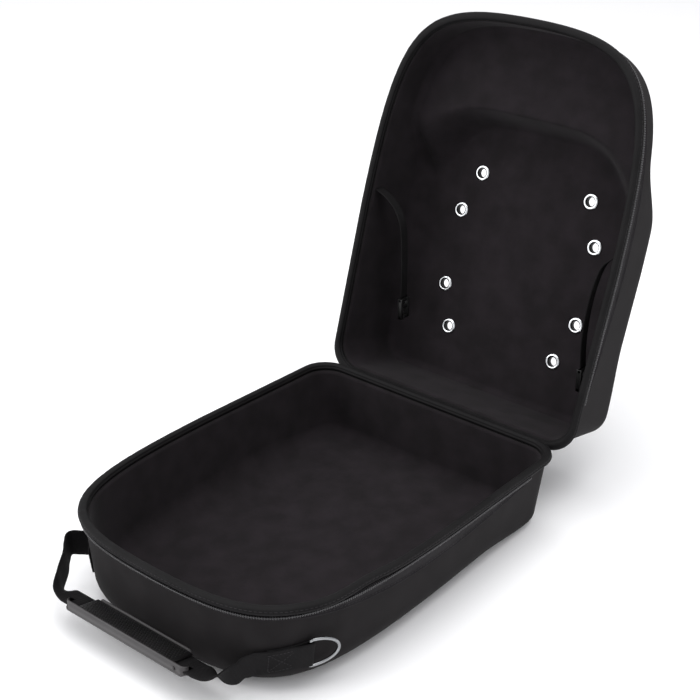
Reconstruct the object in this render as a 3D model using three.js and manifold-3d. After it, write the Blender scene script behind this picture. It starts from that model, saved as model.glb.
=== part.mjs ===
// A moulded carrier case for peaked caps, standing open: a drafted tray with a rolled lip, a lid with a
// shallow peak end and a deep crown end, eight vent eyelets, a zip, a carry handle and two wire rings.
// Millimetres, +Z up. The tray stands on Z = 0 with the origin under its middle; the hinge is at +Y.
import * as THREE from 'three';
import { mergeVertices } from 'three/addons/utils/BufferGeometryUtils.js';
import Module from 'manifold-3d';

const wasm = await Module();
wasm.setup();

// Plan outline, measured on the centre line of the lip
const caseLength = 342;
const caseWidth = 262;
const frontCurveLength = 190;
const frontFullness = 0.87;
const rearCornerRadius = 24;
const rearTaper = 2;
const rearEdgeFrom = 91;
const rearEdgeTo = 21;

// Walls and lip
const wall = 3.8;
const lipRadius = 3.6;
const lipSeatDrop = 2.4;
const clearance = 0.3;

// Tray: height of the lip's centre line at each end, how far the walls lean in, and the bottom edge
const trayRearHeight = 67.5;
const trayFrontHeight = 77.5;
const trayLean = { side: 9, front: 3, rear: 3 };
const trayEdgeRadius = 25;
const trayRearEdgeRadius = 14;

// Lid: depth of its two levels from the lip's centre line, walls, edges and the arched step between them
const crownDepth = 75.3;
const peakDepth = 38;
const lidLean = { side: 5, front: 3, rear: 4 };
const crownEdgeRadius = 20;
const crownRearEdgeRadius = 10;
const peakEdgeRadius = 10;
const stepFromHinge = 266.3;
const stepRun = 20;
const stepRunSides = 47;
const stepBow = 17;

// Hinge: the line that the fabric turns on, from the centre line of the tray's rear lip
const hingeBehind = 2;
const hingeBelow = 6.2;
const lipsApart = 0.6;
const openAngle = 108.2;
const hingeStripWidth = 190;
const hingeStripThickness = 1;
const hingeStripReach = 14;
const hingeStripGap = 0.7;
const hingeStripBelly = 2.6;
const hingeStripOverLip = 1.2;
const hingeStripLands = 4.2;

// Zip
const tapeThickness = 0.8;
const tapeHeight = 4.6;
const tapeSwell = 12;
const tapeWidensFromFront = 29;
const tapeNarrowsFromRear = 35;
const tapeDrop = 3.4;
const tapeEndFromRear = 20;
const teethThickness = 1.8;
const teethHeight = 2.8;
const teethDrop = 4;
const sliderLength = 12;
const sliderWidth = 8;
const sliderThickness = 3.2;
const sliderFromRear = 38;
const pullLength = 22;
const pullWidth = 6;
const pullThickness = 1.6;

// Vent eyelets: pressed rings in two rows each side of the crown's middle
const eyeletRowMiddle = 128.6;
const eyeletPlaces = [
  { across: 58, along: 73.9 },
  { across: 72, along: 35.8 },
  { across: 72, along: -35.8 },
  { across: 58, along: -73.9 },
];
const eyeletFlangeRadius = 7.4;
const eyeletBarrelRadius = 4.9;
const eyeletHoleRadius = 4.1;
const eyeletFlangeThickness = 1.1;
const eyeletSides = 12;

// Wire rings at the front corners
const webbingWidth = 21;
const webbingThickness = 1.5;
const ringWireRadius = 1.3;
const ringDepth = 22;
const ringHeight = 34;
const ringStandOff = 0.08;
const webbingSink = 0.14;
const underGap = 0.5;
const foldSewn = 28;
const foldLands = 14;
const webbingLeaves = 37;
const ringFromFront = 45;
const ringPlay = 0.6;
const ringCorner = 1.8;
const ringBowSteps = 14;
const ringWireSides = 6;

// Carry handle
const gripLength = 126;
const gripWidth = 24;
const gripThickness = 8.5;
const gripWallThickness = 3;
const gripRecessDepth = 3.2;
const gripEndNotch = 9;
const gripCorner = 4;
const gripEntryStraight = 9;
const gripEntryBend = 12;
const gripFromMiddle = -8;
const gripFromFront = 14;
const gripHeight = 26;
const gripTilt = 13.5;
const gripEntry = 6;

// Elastic straps that hang in the lid
const strapWidth = 9;
const strapThickness = 1;
const strapAnchorFromHinge = 170;
const strapAnchorDepth = 9;
const strapLength = 100;
const buckleLength = 21;
const buckleWidth = 12;
const buckleThickness = 5;

const finishes = {
  shell: { color: 0x1d1b1c, roughness: 0.85, metalness: 0 },
  binding: { color: 0x262425, roughness: 0.9, metalness: 0 },
  zip: { color: 0x2b2a2b, roughness: 0.5, metalness: 0 },
  webbing: { color: 0x1b1a1b, roughness: 0.9, metalness: 0 },
  grip: { color: 0x3c3a3b, roughness: 0.55, metalness: 0 },
  steel: { color: 0xc4c6c8, roughness: 0.2, metalness: 1 },
  elastic: { color: 0x201f20, roughness: 0.9, metalness: 0 },
  buckle: { color: 0x161616, roughness: 0.45, metalness: 0 },
};

const halfLength = caseLength / 2;
const halfWidth = caseWidth / 2;
const radians = THREE.MathUtils.degToRad;
const { clamp, lerp: mix } = THREE.MathUtils;

// Where the outline's points lie on its four curves: rear edge, rear corner, side and round front. They
// are closer together at the side ends of the lid's step.
const curveShares = [
  [0, 0.5],
  [0, 0.25, 0.5, 0.75],
  [0, 0.22, 0.44, 0.64, 0.83],
  [0, 0.06, 0.11, 0.155, 0.2, 0.245, 0.29, 0.35, 0.42, 0.5, 0.58, 0.67, 0.77, 0.885],
];

// Points of the plan outline, drawn in at the sides, front and rear. It starts at the rear's middle
// and runs clockwise seen from above: rear right corner, right side, round front, left side.
function planOutline(draw) {
  const side = halfWidth - draw.side;
  const rear = halfLength - draw.rear;
  const front = -halfLength + draw.front;
  const rearSide = side - rearTaper;
  const curveStart = -halfLength + frontCurveLength;
  const corner = Math.max(rearCornerRadius - draw.rear * 0.5, 4);
  const reach = curveStart - front;
  const half = [
    new THREE.LineCurve(new THREE.Vector2(0, rear), new THREE.Vector2(rearSide - corner, rear)),
    new THREE.EllipseCurve(rearSide - corner, rear - corner, corner, corner, Math.PI / 2, 0, true),
    new THREE.LineCurve(new THREE.Vector2(rearSide, rear - corner), new THREE.Vector2(side, curveStart)),
    new THREE.CubicBezierCurve(
      new THREE.Vector2(side, curveStart),
      new THREE.Vector2(side, curveStart - reach * frontFullness),
      new THREE.Vector2(side * frontFullness, front),
      new THREE.Vector2(0, front),
    ),
  ];
  const right = half.flatMap((curve, i) => curveShares[i].map((share) => curve.getPoint(share)));
  const left = right.slice(1).reverse().map((p) => new THREE.Vector2(-p.x, p.y));
  return [...right, new THREE.Vector2(0, front), ...left];
}

const stations = planOutline({ side: 0, front: 0, rear: 0 });
const frontStation = stations.length / 2;

// Height of the centre line of the tray's lip at a place along the case
function trayLipHeight(y) {
  return mix(trayRearHeight, trayFrontHeight, (halfLength - y) / caseLength);
}

// An edge radius at a place along the case: the edges are tighter at the hinge
function edgeRadius(y, radius, rearRadius) {
  const share = THREE.MathUtils.smoothstep(y, halfLength - rearEdgeFrom, halfLength - rearEdgeTo);
  return mix(radius, rearRadius, share);
}

// The two halves: the way their walls go from the lip, where the lip is, and how the walls lean in
const tray = { way: -1, lean: trayLean, lipAt: trayLipHeight, leanDepth: trayLipHeight };
const lidHalf = { way: 1, lean: lidLean, lipAt: () => 0, leanDepth: () => crownDepth };

// A point of a half's wall at one station: a drop from the lip's centre line, and out from the face
function onWall(half, i, drop, out) {
  return leaned(half, i, drop, out, drop / half.leanDepth(stations[i].y));
}

// The same, with the wall's lean given as a share of its whole lean
function leaned(half, i, drop, out, share) {
  const plan = planOutline({
    side: half.lean.side * share - out,
    front: half.lean.front * share - out,
    rear: half.lean.rear * share - out,
  })[i];
  return new THREE.Vector3(plan.x, plan.y, half.lipAt(stations[i].y) + half.way * drop);
}

// A geometry from rings of equal length. Each ring is joined to the next; the last one is joined to
// the first one when round is true, and otherwise both ends are closed towards their middles.
function skin(rings, round = false) {
  const count = rings[0].length;
  const points = rings.flat();
  const faces = [];
  const joins = round ? rings.length : rings.length - 1;
  for (let r = 0; r < joins; r += 1) {
    const here = r * count;
    const next = ((r + 1) % rings.length) * count;
    for (let i = 0; i < count; i += 1) {
      const j = (i + 1) % count;
      faces.push(here + i, here + j, next + j, here + i, next + j, next + i);
    }
  }
  if (!round) {
    closeEnd(points, faces, 0, count, true);
    closeEnd(points, faces, (rings.length - 1) * count, count, false);
  }
  const geometry = new THREE.BufferGeometry();
  geometry.setAttribute('position', new THREE.Float32BufferAttribute(points.flatMap((p) => p.toArray()), 3));
  geometry.setIndex(faces);
  return geometry;
}

// Fills the end ring that starts at point number first, fanned from its middle
function closeEnd(points, faces, first, count, atStart) {
  const middle = new THREE.Vector3();
  for (let i = 0; i < count; i += 1) middle.add(points[first + i]);
  points.push(middle.divideScalar(count));
  const centre = points.length - 1;
  for (let i = 0; i < count; i += 1) {
    const a = first + i;
    const b = first + ((i + 1) % count);
    faces.push(centre, atStart ? b : a, atStart ? a : b);
  }
}

// Turns a geometry inside out, for rings that were listed the other way round
function flipped(geometry) {
  const index = Array.from(geometry.getIndex().array);
  for (let i = 0; i < index.length; i += 3) {
    [index[i + 1], index[i + 2]] = [index[i + 2], index[i + 1]];
  }
  geometry.setIndex(index);
  return geometry;
}

// Mirrors a geometry to the left when hand is -1
function handed(geometry, hand) {
  if (hand > 0) return geometry;
  geometry.scale(-1, 1, 1);
  return flipped(geometry);
}

function toSolid(geometry) {
  const bare = geometry.clone();
  bare.deleteAttribute('normal');
  bare.deleteAttribute('uv');
  const merged = mergeVertices(bare, 1e-4);
  return new wasm.Manifold(new wasm.Mesh({
    numProp: 3,
    vertProperties: new Float32Array(merged.getAttribute('position').array),
    triVerts: new Uint32Array(merged.getIndex().array),
  }));
}

function fromSolid(solid) {
  const mesh = solid.getMesh();
  const geometry = new THREE.BufferGeometry();
  geometry.setAttribute('position', new THREE.Float32BufferAttribute(Array.from(mesh.vertProperties), 3));
  geometry.setIndex(Array.from(mesh.triVerts));
  return geometry;
}

function piece(name, geometry, finish) {
  const mesh = new THREE.Mesh(geometry, new THREE.MeshStandardMaterial(finishes[finish]));
  mesh.name = name;
  return mesh;
}

// Tray

// One face of the tray as rings from the lip's seat to the floor: the outer face has inward 0
function trayFace(inward) {
  const rings = [stations.map((_, i) => onWall(tray, i, lipSeatDrop + clearance, -inward))];
  for (let step = 0; step <= 5; step += 1) {
    const turn = (Math.PI / 2) * (step / 5);
    rings.push(stations.map((plan, i) => {
      const edge = edgeRadius(plan.y, trayEdgeRadius, trayRearEdgeRadius);
      const radius = edge - inward;
      const height = trayLipHeight(plan.y);
      const drop = height - inward - radius * (1 - Math.sin(turn));
      const bend = radius * (1 - Math.cos(turn));
      return leaned(tray, i, drop, -inward - bend, 1 - edge / height);
    }));
  }
  return rings;
}

function trayShell() {
  const outer = trayFace(0);
  const inner = trayFace(wall);
  return skin([...inner.reverse(), ...outer]);
}

// Lid, in its own frame: Z = 0 is the centre line of its lip, +Z is away from the tray

// How deep a face of the lid is over a plan point: the outer face has inward 0
function lidDepth(x, y, inward) {
  return mix(peakDepth, crownDepth, stepShare(x, y, inward)) - inward;
}

// Grows from 0 to 1 between the middle and the sides, the later the higher the power, and ends level
function towardsSides(x, power) {
  const share = Math.min(Math.abs(x) / (halfWidth - crownEdgeRadius), 1);
  return (power + 1) * share ** power - power * share ** (power + 1);
}

// How far the step has run at a plan point: 0 on its arched ridge, 1 at its foot. The ridge bows back
// towards the sides, where the step is longer. The inner face's ridge lies a wall behind the outer one.
function stepRunAt(x, y, inward) {
  const ridge = stepFromHinge - inward - stepBow * towardsSides(x, 5);
  return (ridge - (halfLength - y)) / (stepRun - inward + stepRunSides * towardsSides(x, 7));
}

// Share of the depth between the peak end (0) and the crown end (1): a steep ridge and a round foot in
// the middle, soft at both ends beside the walls
function stepShare(x, y, inward) {
  const run = clamp(stepRunAt(x, y, inward), 0, 1);
  const steep = Math.sin((Math.PI / 2) * run);
  const soft = (1 - Math.cos(Math.PI * run)) / 2;
  return mix(steep, soft, towardsSides(x, 5));
}

// Radius of the lid's rounded edge at a station, for a share of the step
function lidEdgeRadius(i, share) {
  return mix(peakEdgeRadius, edgeRadius(stations[i].y, crownEdgeRadius, crownRearEdgeRadius), share);
}

// The share of the step where the lid's flat starts inside its rounded edge, at a station. The edge's
// place and the share depend on each other, so a few rounds settle them.
function edgeShare(i, inward) {
  let share = 1;
  for (let round = 0; round < 6; round += 1) {
    const radius = lidEdgeRadius(i, share);
    const leanShare = mix(peakDepth, crownDepth, share) / crownDepth;
    const rim = planOutline({
      side: lidLean.side * leanShare + radius,
      front: lidLean.front * leanShare + radius,
      rear: lidLean.rear * leanShare + radius,
    })[i];
    share = mix(share, stepShare(rim.x, rim.y, inward), 0.7);
  }
  return share;
}

// A place on the lid's edge for a share of the step: how far down the wall and how far round the bend
function lidEdgePoint(i, share, along, turn, inward) {
  const depth = mix(peakDepth, crownDepth, share) - inward;
  const radius = lidEdgeRadius(i, share) - inward;
  const drop = mix(lipSeatDrop + clearance, depth - radius, along) + radius * Math.sin(turn);
  const bend = radius * (1 - Math.cos(turn));
  return { drop, bend };
}

// One face of the lid as rings from the lip's seat to the middle of the crown
function lidFace(inward) {
  const rows = [[0, 0], [0.5, 0], [1, 0], [1, 0.3], [1, 0.6], [1, 0.85], [1, 1.12], [1, Math.PI / 2]];
  const shares = stations.map((_, i) => edgeShare(i, inward));
  const rings = rows.map(([along, turn]) => stations.map((_, i) => {
    const { drop, bend } = lidEdgePoint(i, shares[i], along, turn, inward);
    return onWall(lidHalf, i, drop, -inward - bend);
  }));
  const rim = rings[rings.length - 1];
  stepRows.forEach((run, k) => {
    rings.push(rim.map((p) => {
      const share = Math.min(1 - rowSqueeze * (k + 1), shareOfStep(p, run, inward));
      const x = p.x * share;
      const y = mix(lidMiddle, p.y, share);
      return new THREE.Vector3(x, y, lidDepth(x, y, inward));
    }));
  });
  return rings;
}

// How far out from the lid's middle, towards a point of the flat's rim, the step has run so far
function shareOfStep(rim, run, inward) {
  let near = 0;
  let far = 1;
  for (let i = 0; i < 16; i += 1) {
    const share = (near + far) / 2;
    if (stepRunAt(rim.x * share, mix(lidMiddle, rim.y, share), inward) > run) near = share;
    else far = share;
  }
  return far;
}

// Rings of the lid's flat, from its rim inwards: each follows the step at one share of its run, and
// lies close inside the rim where the step doesn't reach
const lidMiddle = halfLength - eyeletRowMiddle;
const stepRows = [-0.25, 0, 0.12, 0.26, 0.42, 0.6, 0.8, 1.05, 1.4];
const rowSqueeze = 0.02;

function eyeletCentres() {
  return eyeletPlaces.flatMap(({ across, along }) => [-1, 1]
    .map((hand) => new THREE.Vector2(hand * across, lidMiddle - along)));
}

function lidShell() {
  const outer = lidFace(0);
  const inner = lidFace(wall);
  let solid = toSolid(flipped(skin([...inner.reverse(), ...outer])));
  for (const centre of eyeletCentres()) {
    const drill = new THREE.CylinderGeometry(
      eyeletBarrelRadius + clearance,
      eyeletBarrelRadius + clearance,
      wall * 3,
      eyeletSides,
    );
    drill.rotateX(Math.PI / 2);
    drill.translate(centre.x, centre.y, crownDepth - wall / 2);
    solid = solid.subtract(toSolid(drill));
  }
  return fromSolid(solid);
}

// A pressed eyelet: a barrel with a domed flange on each face of the wall, round its own Z axis
function eyelet() {
  const half = wall / 2 + clearance;
  const bead = eyeletBarrelRadius + (eyeletFlangeRadius - eyeletBarrelRadius) * 0.45;
  const profile = [
    [eyeletHoleRadius, -half],
    [eyeletBarrelRadius, -half - eyeletFlangeThickness],
    [bead, -half - eyeletFlangeThickness],
    [eyeletFlangeRadius, -half],
    [eyeletBarrelRadius, -half],
    [eyeletBarrelRadius, half],
    [eyeletFlangeRadius, half],
    [bead, half + eyeletFlangeThickness],
    [eyeletBarrelRadius, half + eyeletFlangeThickness],
    [eyeletHoleRadius, half],
  ];
  const rings = profile.map(([radius, height]) => Array.from({ length: eyeletSides }, (_, i) => {
    const turn = (i / eyeletSides) * Math.PI * 2;
    return new THREE.Vector3(radius * Math.cos(turn), radius * Math.sin(turn), height);
  }));
  return skin(rings, true);
}

// Lip, zip tape and teeth follow the outline

// The rolled lip: most of a round section, flat where it sits on the wall
function lip(half) {
  const start = -Math.asin(lipSeatDrop / lipRadius);
  const sides = 7;
  const rings = [];
  for (let s = 0; s <= sides; s += 1) {
    const turn = mix(start, Math.PI - start, s / sides);
    const out = lipRadius * Math.cos(turn);
    const drop = -lipRadius * Math.sin(turn);
    rings.push(stations.map((_, i) => leaned(half, i, drop, out, 0)));
  }
  const geometry = skin(rings, true);
  return half.way < 0 ? flipped(geometry) : geometry;
}

// A band that lies on the wall's outer face, between two drops, from one end of the zip to the other
function zipBand(half, fromDrop, toDrop, near, far) {
  const { first, last } = zipEnds();
  const rings = [];
  for (let i = first; i <= last; i += 1) {
    const to = toDrop(stations[i].y);
    rings.push([
      onWall(half, i, fromDrop, near),
      onWall(half, i, fromDrop, far),
      onWall(half, i, to, far),
      onWall(half, i, to, near),
    ]);
  }
  const geometry = skin(rings);
  return half.way < 0 ? flipped(geometry) : geometry;
}

// The first and last outline points of the zip: it stops short of the rear corners
function zipEnds() {
  const limit = halfLength - rearCornerRadius - tapeEndFromRear;
  const first = stations.findIndex((p, i) => i > 0 && p.y <= limit);
  return { first, last: stations.length - first };
}

// The tape is narrow at the front and at its ends and widest beside the middle
function zipTape(half) {
  const tapeStart = tapeWidensFromFront - halfLength;
  const tapeEnd = halfLength - tapeNarrowsFromRear;
  const bottom = (y) => {
    const share = clamp((y - tapeStart) / (tapeEnd - tapeStart), 0, 1);
    return tapeDrop + tapeHeight + tapeSwell * Math.sin(Math.PI * share);
  };
  return zipBand(half, tapeDrop, bottom, clearance, clearance + tapeThickness);
}

function zipTeeth(half) {
  const near = clearance * 2 + tapeThickness;
  return zipBand(half, teethDrop, () => teethDrop + teethHeight, near, near + teethThickness);
}

// Slider and its pull, parked on the teeth near the rear of the tray's left side
function zipSlider() {
  const out = clearance * 3 + tapeThickness + teethThickness;
  const body = new THREE.BoxGeometry(sliderThickness, sliderLength, sliderWidth);
  const pull = new THREE.BoxGeometry(pullThickness, pullWidth, pullLength);
  pull.translate(-sliderThickness / 2 + pullThickness / 2 - 0.2, 0, -pullLength / 2);
  const whole = fromSolid(toSolid(body).add(toSolid(pull)));
  const y = halfLength - rearCornerRadius - sliderFromRear;
  const side = halfWidth - rearTaper * (1 - sliderFromRear / (caseLength - frontCurveLength));
  whole.translate(-side - out - sliderThickness / 2, y, trayLipHeight(y) - teethDrop - sliderWidth / 2);
  return whole;
}

// Ribbons: flat strips along listed places, each with the direction of the strip's width

// A strip from places { at, across }, where across points along its width
function ribbon(places, width, thickness) {
  const rings = places.map(({ at, across }, i) => {
    const before = places[Math.max(i - 1, 0)].at;
    const after = places[Math.min(i + 1, places.length - 1)].at;
    const along = after.clone().sub(before).normalize();
    const wide = across.clone().addScaledVector(along, -across.dot(along)).normalize();
    const thick = along.clone().cross(wide);
    const corner = (w, t) => at.clone()
      .addScaledVector(wide, (w * width) / 2)
      .addScaledVector(thick, (t * thickness) / 2);
    return [corner(-1, -1), corner(1, -1), corner(1, 1), corner(-1, 1)];
  });
  return skin(rings);
}

// Hinge strip: one part lies on the tray's rear wall, the other bellies out round the lips to the lid
function hingeStripPart(route) {
  const across = new THREE.Vector3(1, 0, 0);
  const middle = route.map(([y, z]) => ({ at: new THREE.Vector3(0, y, z), across }));
  return ribbon(middle, hingeStripWidth, hingeStripThickness);
}

const hingeLine = new THREE.Vector3(0, halfLength + hingeBehind, trayRearHeight - hingeBelow);

function hingeStripTray() {
  const y = halfLength + clearance + hingeStripThickness / 2;
  const top = hingeLine.z - hingeStripGap;
  const lean = (trayLean.rear * (hingeStripReach + hingeBelow)) / trayFrontHeight;
  return hingeStripPart([[y, top], [y - lean, top - hingeStripReach]]);
}

// In the lid's frame, whose lip is lipLift above the hinge line when the case is shut
const lipLift = hingeBelow + 2 * lipRadius + lipsApart;

function hingeStripLid() {
  const lipOutside = lipRadius + clearance * 2 + hingeStripThickness / 2;
  const wallSide = clearance + hingeStripThickness / 2;
  const end = lipRadius + clearance + hingeStripReach;
  return hingeStripPart([
    [halfLength + hingeBehind, -lipLift + hingeStripGap],
    [halfLength + mix(hingeBehind, lipOutside, 0.7), -lipLift + hingeStripBelly],
    [halfLength + lipOutside, -lipLift + hingeBelow],
    [halfLength + lipOutside, 0],
    [halfLength + mix(wallSide, lipOutside, 0.55), lipRadius + hingeStripOverLip],
    [halfLength + wallSide, lipRadius + hingeStripLands],
    [halfLength + wallSide - (lidLean.rear * end) / crownDepth, end],
  ]);
}

// Handle webbing and wire rings

// A point beside the tray's outer face, a distance along the outline from the ring's bar towards the
// front, and out from the wall. The outline is taken at the height z.
function besideTray(forward, out, z) {
  const outline = stations.slice(0, frontStation + 1)
    .map((plan, i) => onWall(tray, i, trayLipHeight(plan.y) - z, 0));
  const curve = new THREE.CatmullRomCurve3(outline);
  const share = clamp(outlineShare(curve, ringFromFront - halfLength) + forward / curve.getLength(), 0, 1);
  const along = curve.getTangentAt(share);
  const away = new THREE.Vector3(-along.y, along.x, 0).normalize();
  return { at: curve.getPointAt(share).addScaledVector(away, out), along, away };
}

// Share of a curve's length at which it reaches a place along the case
function outlineShare(curve, y) {
  let low = 0;
  let high = 1;
  for (let i = 0; i < 24; i += 1) {
    const middle = (low + high) / 2;
    if (curve.getPointAt(middle).y > y) low = middle;
    else high = middle;
  }
  return low;
}

// A place of a strip that lies along the tray's wall: its width follows the wall's lean
function wallPlace(forward, out, z) {
  const above = besideTray(forward, out, z + webbingWidth / 2).at;
  const below = besideTray(forward, out, z - webbingWidth / 2).at;
  return { at: above.clone().lerp(below, 0.5), across: above.sub(below).normalize() };
}

const barOut = underGap + webbingThickness + clearance + ringWireRadius;
const wrapRadius = ringWireRadius + clearance + webbingThickness / 2;
const underOut = underGap + webbingThickness / 2;
const overOut = underOut + webbingThickness + clearance;

// Height of the webbing along the wall
function webbingHeight(forward) {
  return ringHeight - Math.max(forward, 0) * webbingSink;
}

// The webbing's end: sewn flat on the wall, round the ring's bar and back over itself
function webbingFold() {
  const under = [1, 0.79, 0.57, 0.36].map((share) => [share * foldSewn, underOut]);
  const turn = Array.from({ length: 7 }, (_, step) => {
    const angle = -Math.PI / 2 + (step / 6) * Math.PI;
    return [-wrapRadius * Math.cos(angle), barOut + wrapRadius * Math.sin(angle)];
  });
  const crest = [foldLands / 2, mix(overOut, barOut + wrapRadius, 0.5)];
  return [...under, ...turn, crest].map(([forward, out]) => wallPlace(forward, out, webbingHeight(forward)));
}

// A place of the webbing's free run beside the wall. The table's shares are of the ring's place from the
// front, of the webbing's width and of the way down from the ring's height to the grip's
function routePlace([forward, out, fall]) {
  const height = mix(ringHeight, gripHeight, fall);
  return besideTray(forward * ringFromFront, overOut + out * webbingWidth, height).at;
}

const webbingRoutes = {
  left: [
    [0.21, 0.4, -0.12], [0.3, 0.75, -0.4], [0.46, 0.8, -0.2],
    [0.66, 0.84, 0.08], [0.92, 1.15, 0.5], [1.06, 1.22, 0.8],
  ],
  right: [[0.98, 0.17, 0.9], [1.08, 0.45, 1.19], [1.29, 0.72, 1.19]],
};

// A smooth run of places between two ends. The width's direction turns from one to the other between
// the two shares of the run that are given.
function freeRun(points, acrossFrom, acrossTo, steps, [turnFrom, turnTo]) {
  const curve = new THREE.CatmullRomCurve3(points, false, 'centripetal');
  return Array.from({ length: steps + 1 }, (_, i) => {
    const share = i / steps;
    const turn = THREE.MathUtils.smoothstep(share, turnFrom, turnTo);
    return {
      at: curve.getPointAt(share),
      across: acrossFrom.clone().lerp(acrossTo, turn).normalize(),
    };
  });
}

const gripWide = new THREE.Vector3(0, Math.cos(radians(gripTilt)), -Math.sin(radians(gripTilt)));

// The place where the webbing runs into an end of the grip
function gripMouth(hand, outside) {
  return new THREE.Vector3(
    gripFromMiddle + hand * (gripLength / 2 - gripEntry + outside),
    -halfLength - gripFromFront,
    gripHeight,
  );
}

// The last straight bit of the webbing, from outside the grip's end into its slot
function gripEntryRun(hand) {
  return [1, 0.75, 0].map((share) => ({
    at: gripMouth(hand, share * gripEntryStraight),
    across: gripWide.clone().negate(),
  }));
}

// Right side: along the wall, round the front corner, then clear of it into the grip
function handleWebbingRight() {
  const laid = [1, 1.6, 2.15].map((share) => share * foldLands)
    .map((forward) => wallPlace(forward, overOut, webbingHeight(forward)));
  const leave = wallPlace(webbingLeaves, overOut, webbingHeight(webbingLeaves));
  const points = [leave.at, ...webbingRoutes.right.map(routePlace), gripMouth(1, gripEntryBend)];
  return ribbon([
    ...webbingFold(),
    ...laid,
    ...freeRun(points, leave.across, gripWide.clone().negate(), 12, [0.3, 0.95]),
    ...gripEntryRun(1),
  ], webbingWidth, webbingThickness);
}

// Left side: straight off the ring's bar, bulging clear of the front corner on edge to the grip
function handleWebbingLeft() {
  const flip = new THREE.Vector3(-1, 1, 1);
  const fold = webbingFold().map(({ at, across }) => ({
    at: at.multiply(flip),
    across: across.multiply(flip),
  }));
  const last = fold[fold.length - 1];
  const route = webbingRoutes.left.map((shares) => routePlace(shares).multiply(flip));
  const points = [last.at, ...route, gripMouth(-1, gripEntryBend)];
  return ribbon([
    ...fold.slice(0, -1),
    ...freeRun(points, last.across, gripWide.clone().negate(), 16, [0.7, 1]),
    ...gripEntryRun(-1),
  ], webbingWidth, webbingThickness);
}

// A wire ring: a straight bar in the webbing's fold and a round bow lying back along the wall
function wireRing(hand) {
  const bar = besideTray(0, barOut, ringHeight);
  const up = wallPlace(0, barOut, ringHeight).across;
  const back = bar.along.clone().negate();
  const half = webbingWidth / 2 + ringPlay + ringWireRadius;
  const cut = ringCorner * 0.3;
  const places = [[0, -half + ringCorner], [0, half - ringCorner], [cut, half - cut], [ringCorner, half]];
  for (let step = 1; step < ringBowSteps; step += 1) {
    const turn = Math.PI / 2 - (step / ringBowSteps) * Math.PI;
    places.push([ringCorner + (ringDepth - ringCorner) * Math.cos(turn), half * Math.sin(turn)]);
  }
  places.push([ringCorner, -half], [cut, -half + cut]);
  const centre = places.map(([b, z]) => bar.at.clone()
    .addScaledVector(back, b)
    .addScaledVector(bar.away, b * ringStandOff)
    .addScaledVector(up, z));
  const rings = centre.map((at, i) => {
    const before = centre[(i + centre.length - 1) % centre.length];
    const after = centre[(i + 1) % centre.length];
    const along = after.clone().sub(before).normalize();
    const flat = bar.away.clone();
    const inPlane = along.clone().cross(flat).normalize();
    return Array.from({ length: ringWireSides }, (_, k) => {
      const turn = (k / ringWireSides) * Math.PI * 2;
      return at.clone()
        .addScaledVector(flat, ringWireRadius * Math.cos(turn))
        .addScaledVector(inPlane, ringWireRadius * Math.sin(turn));
    });
  });
  return handed(skin(rings, true), hand);
}

// Grip: a long moulded tray with rounded ends, its floor sunk between two walls, slotted at the ends
function handleGrip() {
  const body = roundedBlock(gripLength, gripWidth, gripThickness, gripCorner);
  const recess = roundedBlock(
    gripLength - gripWallThickness * 2,
    gripWidth - gripWallThickness * 2,
    gripRecessDepth * 2,
    gripCorner - 1,
  );
  recess.translate(0, 0, gripThickness / 2);
  const notchWidth = gripWidth - gripWallThickness * 2;
  const notch = new THREE.BoxGeometry(gripEndNotch * 2, notchWidth, gripRecessDepth * 2);
  let solid = toSolid(body).subtract(toSolid(recess));
  for (const hand of [-1, 1]) {
    const end = notch.clone().translate((hand * gripLength) / 2, 0, gripThickness / 2);
    solid = solid.subtract(toSolid(end));
    const slot = new THREE.BoxGeometry(
      (gripEntry + clearance) * 2,
      webbingWidth + clearance * 2,
      webbingThickness + clearance * 2,
    );
    slot.translate((hand * gripLength) / 2, 0, 0);
    solid = solid.subtract(toSolid(slot));
  }
  const grip = fromSolid(solid);
  grip.rotateX(-radians(gripTilt));
  return grip.translate(gripFromMiddle, -halfLength - gripFromFront, gripHeight);
}

// A block with rounded corners in plan, centred on the origin
function roundedBlock(length, width, height, corner) {
  const x = length / 2 - corner;
  const y = width / 2 - corner;
  const shape = new THREE.Shape();
  shape.absarc(x, y, corner, 0, Math.PI / 2);
  shape.absarc(-x, y, corner, Math.PI / 2, Math.PI);
  shape.absarc(-x, -y, corner, Math.PI, Math.PI * 1.5);
  shape.absarc(x, -y, corner, Math.PI * 1.5, Math.PI * 2);
  const block = new THREE.ExtrudeGeometry(shape, { depth: height, bevelEnabled: false, curveSegments: 3 });
  return block.translate(0, 0, -height / 2);
}

// Elastic straps in the lid, drawn in the frame of the standing lid: each hangs plumb from its anchor

// Droop of each strap below its anchor as shares of its length: inwards from the wall, forwards out of
// the lid, and down
const strapDroops = {
  left: [
    [0.008, 0, 0], [0.12, 0.01, 0.04], [0.24, 0.02, 0.13],
    [0.32, 0.03, 0.29], [0.34, 0.03, 0.6], [0.34, 0.03, 1],
  ],
  right: [
    [0.016, 0, 0], [0.09, 0.06, 0.09], [0.13, 0.12, 0.3],
    [0.15, 0.16, 0.56], [0.15, 0.18, 0.8], [0.14, 0.18, 1],
  ],
};

// The anchor of a strap on the inner face of the lid's wall, in the lid's frame
function strapAnchor(hand) {
  const y = halfLength - strapAnchorFromHinge;
  const side = halfWidth - wall - (lidLean.side * strapAnchorDepth) / crownDepth;
  return new THREE.Vector3(hand * (side - clearance), y, strapAnchorDepth);
}

// The lid's frame to the standing case's frame
function standing(point) {
  return point.clone()
    .add(new THREE.Vector3(0, -halfLength - hingeBehind, lipLift))
    .applyAxisAngle(new THREE.Vector3(1, 0, 0), -radians(openAngle))
    .add(hingeLine);
}

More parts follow.
